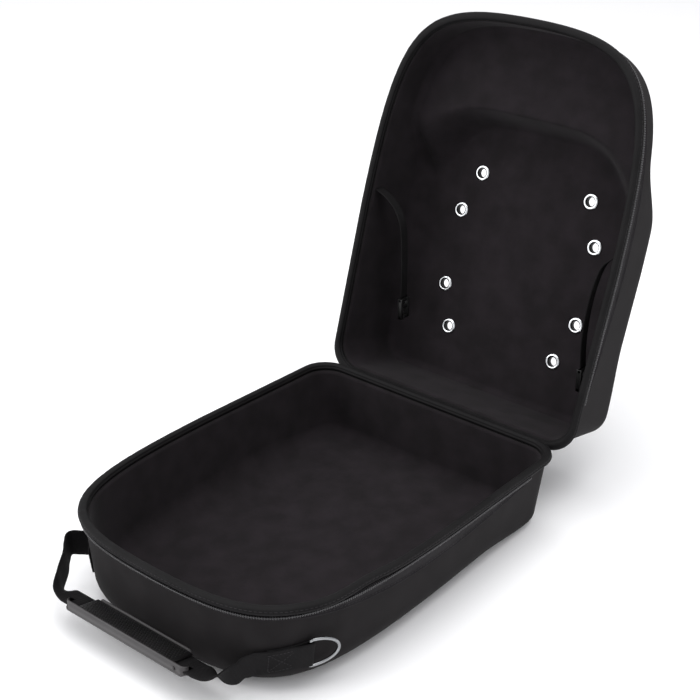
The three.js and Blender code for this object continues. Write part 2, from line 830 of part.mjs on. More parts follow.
function strapPlaces(side) {
  const hand = side === 'left' ? -1 : 1;
  const anchor = standing(strapAnchor(hand));
  return strapDroops[side].map(([inwards, forwards, down]) => new THREE.Vector3(
    anchor.x - hand * inwards * strapLength,
    anchor.y - forwards * strapLength,
    anchor.z - down * strapLength,
  ));
}

function elasticStrap(side) {
  const points = strapPlaces(side);
  const across = new THREE.Vector3(0, 1, 0);
  return ribbon(freeRun(points, across, across, 14, [0, 1]), strapWidth, strapThickness);
}

// A small moulded buckle at the strap's lower end
function strapBuckle(side) {
  const points = strapPlaces(side);
  const end = points[points.length - 1];
  const body = roundedBlock(buckleLength, buckleWidth, buckleThickness, 2);
  body.rotateY(Math.PI / 2);
  return body.translate(end.x, end.y, end.z - clearance - buckleLength / 2);
}

// Assembly

const carrier = new THREE.Group();

carrier.add(piece('base_shell', trayShell(), 'shell'));
carrier.add(piece('base_lip', lip(tray), 'binding'));
carrier.add(piece('base_zip_tape', zipTape(tray), 'binding'));
carrier.add(piece('base_zip_teeth', zipTeeth(tray), 'zip'));
carrier.add(piece('zip_slider', zipSlider(), 'zip'));
carrier.add(piece('hinge_strip_base', hingeStripTray(), 'binding'));
carrier.add(piece('handle_grip', handleGrip(), 'grip'));
carrier.add(piece('handle_webbing_right', handleWebbingRight(), 'webbing'));
carrier.add(piece('handle_webbing_left', handleWebbingLeft(), 'webbing'));
carrier.add(piece('d_ring_right', wireRing(1), 'steel'));
carrier.add(piece('d_ring_left', wireRing(-1), 'steel'));

// The lid turns on the hinge line, so its group stands there
const lid = new THREE.Group();
lid.position.copy(hingeLine);
lid.rotation.x = -radians(openAngle);
const lidFrame = new THREE.Group();
lidFrame.position.set(0, -halfLength - hingeBehind, lipLift);
lid.add(lidFrame);
carrier.add(lid);

lidFrame.add(piece('lid_shell', lidShell(), 'shell'));
lidFrame.add(piece('lid_lip', lip(lidHalf), 'binding'));
lidFrame.add(piece('lid_zip_tape', zipTape(lidHalf), 'binding'));
lidFrame.add(piece('lid_zip_teeth', zipTeeth(lidHalf), 'zip'));
lidFrame.add(piece('hinge_strip_lid', hingeStripLid(), 'binding'));
eyeletCentres().forEach((centre, i) => {
  const ring = piece(`eyelet_${i + 1}`, eyelet(), 'steel');
  ring.position.set(centre.x, centre.y, crownDepth - wall / 2);
  lidFrame.add(ring);
});
for (const side of ['left', 'right']) {
  carrier.add(piece(`strap_${side}`, elasticStrap(side), 'elastic'));
  carrier.add(piece(`buckle_${side}`, strapBuckle(side), 'buckle'));
}

export default carrier;
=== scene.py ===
"""A moulded carrier case for peaked caps, standing open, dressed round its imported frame.

The case is a drafted tray with a rolled lip, a lid with a shallow peak end and a deep crown end,
eight vent eyelets, a zip, a carry handle with webbing and two wire rings, and two elastic straps.
Everything is in metres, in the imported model's own frame: the tray stands on Z = 0, the hinge is at +Y.
"""
from __future__ import annotations

import logging
import math
from dataclasses import astuple, dataclass, field
from enum import Enum

import bmesh
import bpy
import numpy as np
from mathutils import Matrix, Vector

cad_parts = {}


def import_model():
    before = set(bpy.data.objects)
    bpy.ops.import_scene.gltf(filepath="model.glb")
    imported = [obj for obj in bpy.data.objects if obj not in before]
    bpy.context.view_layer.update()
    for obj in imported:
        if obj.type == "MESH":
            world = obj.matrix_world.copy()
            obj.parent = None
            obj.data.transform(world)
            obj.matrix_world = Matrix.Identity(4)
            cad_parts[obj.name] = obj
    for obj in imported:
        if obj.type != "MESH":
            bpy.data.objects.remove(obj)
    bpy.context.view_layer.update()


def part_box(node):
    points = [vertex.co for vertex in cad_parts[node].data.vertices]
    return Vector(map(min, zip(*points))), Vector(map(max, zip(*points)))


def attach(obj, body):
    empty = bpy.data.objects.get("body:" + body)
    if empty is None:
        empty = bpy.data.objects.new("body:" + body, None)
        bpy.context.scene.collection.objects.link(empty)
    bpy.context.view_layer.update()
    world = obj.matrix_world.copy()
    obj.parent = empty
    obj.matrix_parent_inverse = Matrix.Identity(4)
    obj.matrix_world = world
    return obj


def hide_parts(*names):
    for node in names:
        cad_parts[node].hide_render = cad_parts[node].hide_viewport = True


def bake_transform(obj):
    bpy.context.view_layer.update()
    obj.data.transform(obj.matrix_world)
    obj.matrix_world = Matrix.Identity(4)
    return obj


log = logging.getLogger("cap_carrier")
TAU = 2 * math.pi
RIGHTWARDS, REARWARDS, UP = np.eye(3)

Array = np.ndarray
Obj = bpy.types.Object
Mesh = bpy.types.Mesh
Material = bpy.types.Material
NodeTree = bpy.types.NodeTree
Socket = bpy.types.NodeSocket
Triple = tuple[float, float, float]


class Half(Enum):
    """The two halves of the case."""

    TRAY = "base"
    LID = "lid"


class Side(Enum):
    """Left and right, seen from the front, as the sign of X."""

    LEFT = -1
    RIGHT = 1

    @property
    def label(self) -> str:
        """The side's name in the names of pieces."""
        return self.name.lower()

    def mirror(self, points: Array) -> Array:
        """Takes points or directions from the right side to this one."""
        return np.asarray(points) * np.array([self.value, 1.0, 1.0])


class Weave(Enum):
    """How a finish's relief runs."""

    KNIT = "knit"
    BRUSHED = "brushed"
    RIBBED = "ribbed"
    TWILL = "twill"
    MOULDED = "moulded"
    PLATED = "plated"
    THREAD = "thread"


# Small geometry helpers


def unit(vectors: Array) -> Array:
    """Returns vectors scaled to length one, along the last axis."""
    return vectors / np.maximum(np.linalg.norm(vectors, axis=-1, keepdims=True), 1e-12)


def between(low: float | Array, high: float | Array, share: float | Array) -> float | Array:
    """Returns the value a share of the way from low to high."""
    return low + (high - low) * share


def smooth(value: float | Array, low: float, high: float) -> float | Array:
    """Returns 0 below low, 1 above high and an eased value between them."""
    share = np.clip((value - low) / (high - low), 0.0, 1.0)
    return share * share * (3 - 2 * share)


def curve_through(points: Array, steps: int) -> Array:
    """Runs a smooth curve through points, with even spacing.

    Args:
        points: the places that the curve passes, one a row.
        steps: how many stretches the result has.

    Returns:
        Places on the curve, steps + 1 rows.
    """
    points = np.asarray(points, float)
    padded = np.vstack([2 * points[0] - points[1], points, 2 * points[-1] - points[-2]])
    dense = []
    for i in range(len(points) - 1):
        p0, p1, p2, p3 = padded[i : i + 4]
        t = np.linspace(0, 1, 24, endpoint=False)[:, None]
        dense.append(
            0.5 * (2 * p1 + (p2 - p0) * t + (2 * p0 - 5 * p1 + 4 * p2 - p3) * t**2
                   + (3 * p1 - p0 - 3 * p2 + p3) * t**3)
        )
    return resample(np.vstack([*dense, points[-1:]]), steps)


def resample(path: Array, steps: int) -> Array:
    """Returns steps + 1 places spaced evenly along a path of straight stretches."""
    run = path_length(path)
    want = np.linspace(0, run[-1], steps + 1)
    return np.column_stack([np.interp(want, run, path[:, k]) for k in range(path.shape[1])])


def path_length(path: Array) -> Array:
    """Returns the length run so far at each place of a path."""
    return np.concatenate([[0.0], np.cumsum(np.linalg.norm(np.diff(path, axis=0), axis=1))])


def tangents(path: Array, closed: bool = False) -> Array:
    """Returns the direction of a path at each of its places."""
    if closed:
        return unit(np.roll(path, -1, 0) - np.roll(path, 1, 0))
    return unit(np.gradient(path, axis=0))


def ripple(turn: Array, size: float, waves: tuple[int, ...], phase: float = 0.0) -> Array:
    """Returns a gentle unevenness round a closed path.

    Args:
        turn: place round the path, from 0 to 1.
        size: the largest height.
        waves: how many waves each layer has round the path.
        phase: shifts the layers against each other.
    """
    layers = [np.sin(TAU * (count * turn) + phase + 1.7 * k) for k, count in enumerate(waves)]
    return size * sum(layers) / len(waves)


@dataclass
class Skin:
    """A mesh in the making: a grid of points whose columns close on themselves, and whose rows may.

    Rows that stay open are closed at either end towards a middle point.
    """

    grid: Array
    rows_close: bool = False
    cap_first: bool = False
    cap_last: bool = False
    row_run: Array | None = None
    column_run: Array | None = None
    slots: Array | None = None

    def build(self, name: str, *finishes: Finish) -> Obj:
        """Makes the object.

        Args:
            name: the object's name.
            *finishes: its finishes; slots says which one each row of faces takes.

        Returns:
            The new object, at the origin.
        """
        rows, columns = self.grid.shape[:2]
        vertices = self.grid.reshape(-1, 3)
        joins = rows if self.rows_close else rows - 1
        r, c = (a.ravel() for a in np.meshgrid(np.arange(joins), np.arange(columns), indexing="ij"))
        r2, c2 = (r + 1) % rows, (c + 1) % columns
        quads = np.column_stack([r * columns + c, r * columns + c2, r2 * columns + c2, r2 * columns + c])
        face_slots = list(self.slots[r]) if self.slots is not None else [0] * len(quads)
        corners = np.stack([[r, r, r + 1, r + 1], [c, c + 1, c + 1, c]]).transpose(0, 2, 1)
        points, caps = vertices.tolist(), []
        ends = ((self.cap_first, 0, -1, face_slots[0]), (self.cap_last, rows - 1, 1, face_slots[-1]))
        for wanted, row, way, slot in ends:
            if wanted:
                ring = row * columns + np.arange(columns)
                middle = np.full(columns, len(points))
                points.append(self.grid[row].mean(0).tolist())
                caps += np.column_stack([middle, *(ring, np.roll(ring, -1))[::way]]).tolist()
                face_slots += [slot] * columns
        mesh = bpy.data.meshes.new(name)
        mesh.from_pydata(points, [], quads.tolist() + caps)
        mesh.polygons.foreach_set("material_index", np.array(face_slots, dtype=np.int32))
        smooth_faces(mesh)
        if self.row_run is not None:
            self._lay_uv(mesh, corners, len(caps))
        shape = bmesh.new()
        shape.from_mesh(mesh)
        bmesh.ops.recalc_face_normals(shape, faces=shape.faces)
        pour(shape, mesh)
        return link(name, mesh, *(finish.material() for finish in finishes))

    def _lay_uv(self, mesh: Mesh, corners: Array, caps: int) -> None:
        """Writes a UV map in metres: U along the columns, V along the rows."""
        layer = mesh.uv_layers.new(name="run")
        run = np.column_stack([self.column_run[corners[1]].ravel(), self.row_run[corners[0]].ravel()])
        whole = np.vstack([run, np.zeros((caps * 3, 2))])
        layer.data.foreach_set("uv", whole.astype(np.float32).ravel())


def link(name: str, data: Mesh | bpy.types.Light | bpy.types.Camera, *materials: Material) -> Obj:
    """Puts a mesh, a light or a camera into the scene as an object, a mesh with its materials."""
    obj = bpy.data.objects.new(name, data)
    for material in materials:
        data.materials.append(material)
    bpy.context.scene.collection.objects.link(obj)
    return obj


def pour(shape: bmesh.types.BMesh, mesh: Mesh | None = None) -> Mesh:
    """Writes an edited shape into a mesh, or into a new one, and returns it."""
    mesh = mesh or bpy.data.meshes.new("shape")
    shape.to_mesh(mesh)
    shape.free()
    return mesh


def smooth_faces(mesh: Mesh) -> None:
    """Shades every face of a mesh smooth."""
    mesh.polygons.foreach_set("use_smooth", np.full(len(mesh.polygons), True))


def joined(name: str, parts: list[Obj]) -> Obj:
    """Joins objects into one, keeping their materials, and names it."""
    shape = bmesh.new()
    materials: list[Material] = []
    for part in parts:
        first_new = len(shape.faces)
        shape.from_mesh(part.data)
        shape.faces.ensure_lookup_table()
        places = []
        for material in part.data.materials:
            if material not in materials:
                materials.append(material)
            places.append(materials.index(material))
        for face in shape.faces[first_new:]:
            face.material_index = places[face.material_index] if places else 0
    mesh = pour(shape, bpy.data.meshes.new(name))
    for part in parts:
        bpy.data.objects.remove(part)
    return link(name, mesh, *materials)


def bevelled_block(size: Triple, bevel: float, segments: int = 2) -> Mesh:
    """Returns a block round the origin with rounded edges."""
    shape = bmesh.new()
    bmesh.ops.create_cube(shape, size=1.0)
    bmesh.ops.scale(shape, vec=Vector(size), verts=shape.verts)
    bmesh.ops.bevel(shape, geom=shape.edges[:], offset=bevel, segments=segments, profile=0.5,
                    affect="EDGES")
    mesh = pour(shape)
    smooth_faces(mesh)
    return mesh


def place_mesh(mesh: Mesh, origin: Array, x: Array = RIGHTWARDS, y: Array = REARWARDS, z: Array = UP) -> Mesh:
    """Moves a mesh's points from its own axes to given ones."""
    points = np.empty(len(mesh.vertices) * 3)
    mesh.vertices.foreach_get("co", points)
    points = points.reshape(-1, 3)
    placed = origin + points[:, :1] * x + points[:, 1:2] * y + points[:, 2:] * z
    mesh.vertices.foreach_set("co", placed.ravel())
    mesh.update()
    return mesh


# Finishes


def linear(code: str) -> tuple[float, float, float, float]:
    """Turns an sRGB hex code into a linear colour."""
    channels = [int(code[k : k + 2], 16) / 255 for k in (1, 3, 5)]
    values = [c / 12.92 if c <= 0.04045 else ((c + 0.055) / 1.055) ** 2.4 for c in channels]
    return (*values, 1.0)


def add_node(tree: NodeTree, kind: str, settings: dict | None = None, **sockets: object) -> bpy.types.Node:
    """Adds a node.

    Args:
        tree: the tree that it goes into.
        kind: the node's type.
        settings: its own settings by name.
        **sockets: its inputs by name, or as input_N by number; a socket is linked, a value is set.

    Returns:
        The new node.
    """
    made = tree.nodes.new(kind)
    for key, value in (settings or {}).items():
        setattr(made, key, value)
    for key, value in sockets.items():
        place = made.inputs[int(key[6:])] if key.startswith("input_") else made.inputs[key.replace("_", " ")]
        if isinstance(value, Socket):
            tree.links.new(value, place)
        else:
            place.default_value = value
    return made


def maths(tree: NodeTree, operation: str, *values: Socket | float) -> Socket:
    """Works values out with one maths node of a material."""
    inputs = {f"input_{k}": value for k, value in enumerate(values)}
    return add_node(tree, "ShaderNodeMath", {"operation": operation}, **inputs).outputs[0]


@dataclass(frozen=True)
class Finish:
    """What a surface is made of and how it was made."""

    name: str
    dark: str
    light: str
    weave: Weave
    roughness: float
    thread: float = 0.001
    relief: float = 0.3
    depth: float = 0.0002
    shine: float = 0.12
    sheen: float = 0.0
    metallic: float = 0.0
    patch: float = 0.02

    def material(self) -> Material:
        """Returns the finish's material, made once."""
        known = bpy.data.materials.get(self.name)
        if known:
            return known
        made = bpy.data.materials.new(self.name)
        made.use_nodes = True
        tree = made.node_tree
        shader = tree.nodes["Principled BSDF"]
        shader.inputs["Metallic"].default_value = self.metallic
        shader.inputs["Specular IOR Level"].default_value = self.shine
        shader.inputs["Sheen Weight"].default_value = self.sheen
        shader.inputs["Sheen Roughness"].default_value = 0.45
        coordinates = add_node(tree, "ShaderNodeTexCoord")
        self._colour(tree, shader, coordinates.outputs["Object"])
        height = self._height(tree, coordinates)
        if height is not None:
            bump = add_node(tree, "ShaderNodeBump", Strength=self.relief, Distance=self.depth, Height=height)
            tree.links.new(bump.outputs["Normal"], shader.inputs["Normal"])
        return made

    def _colour(self, tree: NodeTree, shader: bpy.types.Node, place: Socket) -> None:
        """Mixes the dark and light tones in soft patches, and lets the gloss follow them a little."""
        cloud = add_node(tree, "ShaderNodeTexNoise", Vector=place, Scale=1 / self.patch, Detail=4.0)
        tones = add_node(tree, "ShaderNodeValToRGB", Fac=cloud.outputs["Fac"])
        tones.color_ramp.elements[0].position = 0.35
        tones.color_ramp.elements[0].color = linear(self.dark)
        tones.color_ramp.elements[1].position = 0.68
        tones.color_ramp.elements[1].color = linear(self.light)
        tree.links.new(tones.outputs["Color"], shader.inputs["Base Color"])
        gloss = add_node(
            tree, "ShaderNodeMapRange", Value=cloud.outputs["Fac"],
            To_Min=max(self.roughness - 0.05, 0.02), To_Max=min(self.roughness + 0.05, 1.0),
        )
        tree.links.new(gloss.outputs["Result"], shader.inputs["Roughness"])

    def _height(self, tree: NodeTree, coordinates: bpy.types.Node) -> Socket | None:
        """Returns the relief that the weave or the making leaves."""
        place, run = coordinates.outputs["Object"], coordinates.outputs["UV"]
        if self.weave in (Weave.KNIT, Weave.BRUSHED, Weave.MOULDED):
            return self._grain(tree, place)
        if self.weave is Weave.PLATED:
            return None
        split = add_node(tree, "ShaderNodeSeparateXYZ", Vector=run)
        across, along = split.outputs["X"], split.outputs["Y"]
        if self.weave is Weave.TWILL:
            slant = maths(tree, "PINGPONG", along, self.thread * 4)
            return self._wave(tree, maths(tree, "ADD", across, slant), self.thread)
        if self.weave is Weave.THREAD:
            return self._wave(tree, maths(tree, "ADD", across, along), self.thread)
        ribs = self._wave(tree, across, self.thread)
        picks = self._wave(tree, along, self.thread * 2.2)
        return maths(tree, "MULTIPLY_ADD", picks, 0.45, ribs)

    def _wave(self, tree: NodeTree, value: Socket, pitch: float) -> Socket:
        """Returns a wave of a given pitch along a length."""
        return maths(tree, "SINE", maths(tree, "MULTIPLY", value, TAU / pitch))

    def _grain(self, tree: NodeTree, place: Socket) -> Socket:
        """Returns small cells for a knit, fibres for a brushed face and a fine grain for a moulding."""
        cells = add_node(tree, "ShaderNodeTexVoronoi", Vector=place, Scale=1 / self.thread)
        fibres = add_node(tree, "ShaderNodeTexNoise", Vector=place, Scale=0.5 / self.thread, Detail=5.0)
        share = {Weave.KNIT: 0.35, Weave.BRUSHED: 0.8, Weave.MOULDED: 0.6}[self.weave]
        both = add_node(tree, "ShaderNodeMix", Factor=share, A=cells.outputs["Distance"],
                        B=fibres.outputs["Fac"])
        return both.outputs["Result"]


# Polyester jersey laminated to foam board: matte, with a fine knit that only softens the light.
SHELL = Finish("laminated_jersey", "#1a1819", "#201e1f", Weave.KNIT, 0.85, thread=0.0011,
               relief=0.25, sheen=0.02)
# The brushed face of the same laminate, inside: a warmer, hairier black.
LINING = Finish("brushed_lining", "#1a1719", "#221e21", Weave.BRUSHED, 0.9, thread=0.0014,
                relief=0.3, sheen=0.04)
# Padded binding rolled over the edge: closer knit that shines a little where it is stretched.
BINDING = Finish("padded_binding", "#0e0d0e", "#141314", Weave.RIBBED, 0.65, thread=0.0009,
                 relief=0.15, shine=0.14)
# Woven zip tape: herringbone, drawn at 1.4 mm because the real 0.6 mm would not show.
TAPE = Finish("zip_tape_twill", "#1e1c1e", "#262426", Weave.TWILL, 0.8, thread=0.0014, relief=0.3, sheen=0.02)
# Moulded nylon teeth: small hard glints.
TEETH = Finish("nylon_teeth", "#29282a", "#353436", Weave.MOULDED, 0.24, thread=0.002, relief=0.05, shine=0.6)
# Woven polyester webbing: ribs across the width and fine picks.
WEBBING = Finish("polyester_webbing", "#131213", "#191819", Weave.RIBBED, 0.8, thread=0.0012,
                 relief=0.5, sheen=0.01)
# Satin injection-moulded plastic: smooth sides that take a broad grey light.
GRIP = Finish("satin_moulding", "#343233", "#3b393a", Weave.MOULDED, 0.42, thread=0.0016,
              relief=0.08, shine=0.4)
# The soft insert of the grip: dark, with a coarse grain that sparkles in spots.
INSERT = Finish("grained_insert", "#0d0c0d", "#171617", Weave.MOULDED, 0.4, thread=0.0024,
                relief=0.9, depth=0.0006, shine=0.3)
# Nickel plate on pressed or bent steel: clear bright reflections.
PLATE = Finish("nickel_plate", "#c9cbcd", "#d6d8da", Weave.PLATED, 0.14, metallic=1.0, shine=0.5)
# The same plate on round wire, its colour darkened to paint in dimmer reflections than the even white room
# gives.
WIRE = Finish("wire_plate_painted_dim", "#8a8c8e", "#a6a8aa", Weave.PLATED, 0.2, metallic=1.0, shine=0.5)
# The same plate with its colour darkened to paint the shade inside the eyelet's hole: it reads as a dark ring
# inside the bright one.
BARREL_SHADE = Finish("barrel_painted_shade", "#1b1b1c", "#262627", Weave.PLATED, 0.5, metallic=1.0, shine=0.5)
# Braided elastic: fine ribs along its length.
ELASTIC = Finish("braided_elastic", "#131213", "#1a191a", Weave.RIBBED, 0.84, thread=0.001, relief=0.5)
# Moulded acetal buckle: near black with a soft gloss.
BUCKLE = Finish("acetal_moulding", "#0e0e0e", "#141414", Weave.MOULDED, 0.35, thread=0.002,
                relief=0.04, shine=0.4)
# Bonded sewing thread, a little lighter than the cloth, so a seam shows as a pale line.
THREAD = Finish("bonded_thread", "#2a282a", "#343234", Weave.THREAD, 0.6, thread=0.0005, relief=0.2)


# Repeats along a path, by geometry nodes


@dataclass
class RowTree:
    """A node tree that sets one small rounded piece at even steps along a path.

    The path is a mesh of edges with a vector attribute named out, the way that each piece faces.
    """

    name: str = "row_along_path"
    out_attribute: str = "out"
    identifiers: dict[str, str] = field(default_factory=dict)
    tree: NodeTree | None = None

    def ensure(self) -> NodeTree:
        """Builds the tree once and returns it."""
        if self.tree is not None:
            return self.tree
        tree = bpy.data.node_groups.new(self.name, "GeometryNodeTree")
        face = tree.interface
        face.new_socket("Geometry", in_out="INPUT", socket_type="NodeSocketGeometry")
        kinds = {**dict.fromkeys(("Pitch", "Along", "Across", "Proud"), "Float"), "Sides": "Int",
                 "Material": "Material"}
        for label, kind in kinds.items():
            made = face.new_socket(label, in_out="INPUT", socket_type=f"NodeSocket{kind}")
            self.identifiers[label] = made.identifier
        face.new_socket("Geometry", in_out="OUTPUT", socket_type="NodeSocketGeometry")
        self._wire(tree)
        self.tree = tree
        return tree

    def _wire(self, tree: NodeTree) -> None:
        """Adds the nodes: path to curve, even points, a rounded piece on each, turned to the path."""
        given = add_node(tree, "NodeGroupInput")
        curve = add_node(tree, "GeometryNodeMeshToCurve", Mesh=given.outputs["Geometry"])
        even = add_node(tree, "GeometryNodeResampleCurve", {"mode": "LENGTH"}, Curve=curve.outputs["Curve"],
                        Length=given.outputs["Pitch"])
        bead = add_node(tree, "GeometryNodeMeshUVSphere", Segments=given.outputs["Sides"], Rings=5,
                        Radius=0.5)
        out = add_node(tree, "GeometryNodeInputNamedAttribute", {"data_type": "FLOAT_VECTOR"},
                       Name=self.out_attribute)
        tangent = add_node(tree, "GeometryNodeInputTangent")
        aim = add_node(tree, "FunctionNodeAlignRotationToVector", {"axis": "X"}, Vector=tangent.outputs[0])
        face_out = add_node(tree, "FunctionNodeAlignRotationToVector", {"axis": "Z", "pivot_axis": "X"},
                            Rotation=aim.outputs[0], Vector=out.outputs["Attribute"])
        size = add_node(tree, "ShaderNodeCombineXYZ", X=given.outputs["Along"], Y=given.outputs["Across"],
                        Z=given.outputs["Proud"])
        copies = add_node(tree, "GeometryNodeInstanceOnPoints", Points=even.outputs["Curve"],
                          Instance=bead.outputs["Mesh"], Rotation=face_out.outputs[0], Scale=size.outputs[0])
        real = add_node(tree, "GeometryNodeRealizeInstances", Geometry=copies.outputs["Instances"])
        dressed = add_node(tree, "GeometryNodeSetMaterial", Geometry=real.outputs["Geometry"],
                           Material=given.outputs["Material"])
        add_node(tree, "NodeGroupOutput", Geometry=dressed.outputs["Geometry"])

    def lay(self, name: str, path: Array, out: Array, sizes: dict[str, float], finish: Finish,
            closed: bool = False, sides: int = 6) -> Obj:
        """Lays a row along a path.

        Args:
            name: the new object's name.
            path: places on the path.
            out: the way that the pieces face, one direction a place.
            sizes: Pitch, Along, Across and Proud, in metres.
            finish: what the pieces are made of.
            closed: whether the path closes on itself.
            sides: how many sides each rounded piece has.

        Returns:
            A plain mesh object with every piece in it.
        """
        tree = self.ensure()
        mesh = bpy.data.meshes.new(name + "_path")
        count = len(path)
        edges = [(k, k + 1) for k in range(count - 1)] + ([(count - 1, 0)] if closed else [])
        mesh.from_pydata(path.tolist(), edges, [])
        facing = mesh.attributes.new(self.out_attribute, "FLOAT_VECTOR", "POINT")
        facing.data.foreach_set("vector", unit(out).astype(np.float32).ravel())
        guide = link(name + "_guide", mesh)
        modifier = guide.modifiers.new("row", "NODES")
        modifier.node_group = tree
        for label, value in {**sizes, "Sides": sides, "Material": finish.material()}.items():
            modifier[self.identifiers[label]] = value
        seen = bpy.context.evaluated_depsgraph_get()
        result = bpy.data.meshes.new_from_object(guide.evaluated_get(seen), preserve_all_data_layers=False,
                                                 depsgraph=seen)
        bpy.data.objects.remove(guide)
        result.name = name
        smooth_faces(result)
        return link(name, result)


ROWS = RowTree()


@dataclass(frozen=True)
class Stitches:
    """A row of sewing stitches: how far apart, how long, how thick."""

    pitch: float = 0.0036
    length: float = 0.0029
    width: float = 0.0007
    proud: float = 0.0006

    def lay(self, name: str, path: Array, out: Array, closed: bool = False) -> Obj:
        """Returns a row of stitches along a path, facing out."""
        sizes = {"Pitch": self.pitch, "Along": self.length, "Across": self.width, "Proud": self.proud}
        return ROWS.lay(name, path, out, sizes, THREAD, closed)


# The form of the case


@dataclass(frozen=True)
class Outline:
    """The plan of the case on the centre line of its lip: square at the hinge, round at the front."""

    length: float = 0.342
    width: float = 0.262
    front_curve: float = 0.190
    fullness: float = 0.87
    corner: float = 0.024
    taper: float = 0.002
    counts: tuple[int, int, int, int] = (12, 14, 44, 76)

    @property
    def count(self) -> int:
        """How many stations the whole outline has."""
        return 2 * sum(self.counts)

    def stations(self) -> tuple[Array, Array, Array]:
        """Returns the stretch, the place along it and the side of each station, clockwise from the rear."""
        stretch = np.repeat(np.arange(4), self.counts)
        share = np.concatenate([np.arange(n) / n for n in self.counts])
        right = (stretch, share, np.ones(len(stretch)))
        front = (np.array([3]), np.array([1.0]), np.array([1.0]))
        left = (stretch[:0:-1], share[:0:-1], -np.ones(len(stretch) - 1))
        return tuple(np.concatenate(parts) for parts in zip(right, front, left))

    def place(self, side: Array | float, front: Array | float, rear: Array | float) -> Array:
        """Returns the outline's points, drawn in at the sides, the front and the rear.

        Args:
            side: how far in the sides are, a number or one a station or row.
            front: how far in the front is.
            rear: how far in the rear is.

        Returns:
            X and Y of each station, with the shape of the widest argument.
        """
        stretch, t, hand = self.stations()
        side, front, rear, t, stretch, hand = np.broadcast_arrays(side, front, rear, t, stretch, hand)
        half = self.width / 2 - side
        back = self.length / 2 - rear
        nose = -self.length / 2 + front
        narrow = half - self.taper
        corner = np.maximum(self.corner - rear * 0.5, 0.004)
        start = -self.length / 2 + self.front_curve
        reach = start - nose
        angle = math.pi / 2 * (1 - t)
        u = 1 - t
        bow_x = half * (u**3 + 3 * u * u * t + 3 * u * t * t * self.fullness)
        bow_y = (start * (u**3 + 3 * u * u * t) - 3 * u * u * t * reach * self.fullness
                 + nose * (3 * u * t * t + t**3))
        x = np.choose(stretch, [(narrow - corner) * t, narrow - corner + corner * np.cos(angle),
                                narrow + self.taper * t, bow_x])
        y = np.choose(stretch, [back + 0 * t, back - corner + corner * np.sin(angle),
                                (back - corner) * u + start * t, bow_y])
        return np.stack([x * hand, y], axis=-1)


OUTLINE = Outline()
PLAN = OUTLINE.place(0.0, 0.0, 0.0)
HALF_LENGTH = OUTLINE.length / 2
HALF_WIDTH = OUTLINE.width / 2
LOOP = np.vstack([PLAN, PLAN[:1]])
ROUND = path_length(LOOP)
TURN = ROUND[:-1] / ROUND[-1]
FRONT = sum(OUTLINE.counts)


@dataclass(frozen=True)
class Lean:
    """How far a wall leans in over its whole height, at the sides, the front and the rear."""

    side: float
    front: float
    rear: float


@dataclass(frozen=True)
class Hinge:
    """The line that the lid turns on, and the lid's place when it stands open."""

    behind: float = 0.002
    below: float = 0.0062
    angle: float = math.radians(108.2)
    rear_height: float = 0.0675
    lift: float = 0.014

    @property
    def line(self) -> Array:
        """A point on the hinge line, in the frame."""
        return np.array([0.0, HALF_LENGTH + self.behind, self.rear_height - self.below])

    def stand(self, points: Array) -> Array:
        """Takes points or a grid of them from the lid's own frame to the open lid's place."""
        moved = np.asarray(points, float) + np.array([0.0, -HALF_LENGTH - self.behind, self.lift])
        return self.turn(moved) + self.line

    def turn(self, vectors: Array) -> Array:
        """Turns directions from the lid's own frame to the open lid."""
        c, s = math.cos(self.angle), math.sin(self.angle)
        x, y, z = vectors[..., 0], vectors[..., 1], vectors[..., 2]
        return np.stack([x, y * c + z * s, z * c - y * s], axis=-1)


HINGE = Hinge()


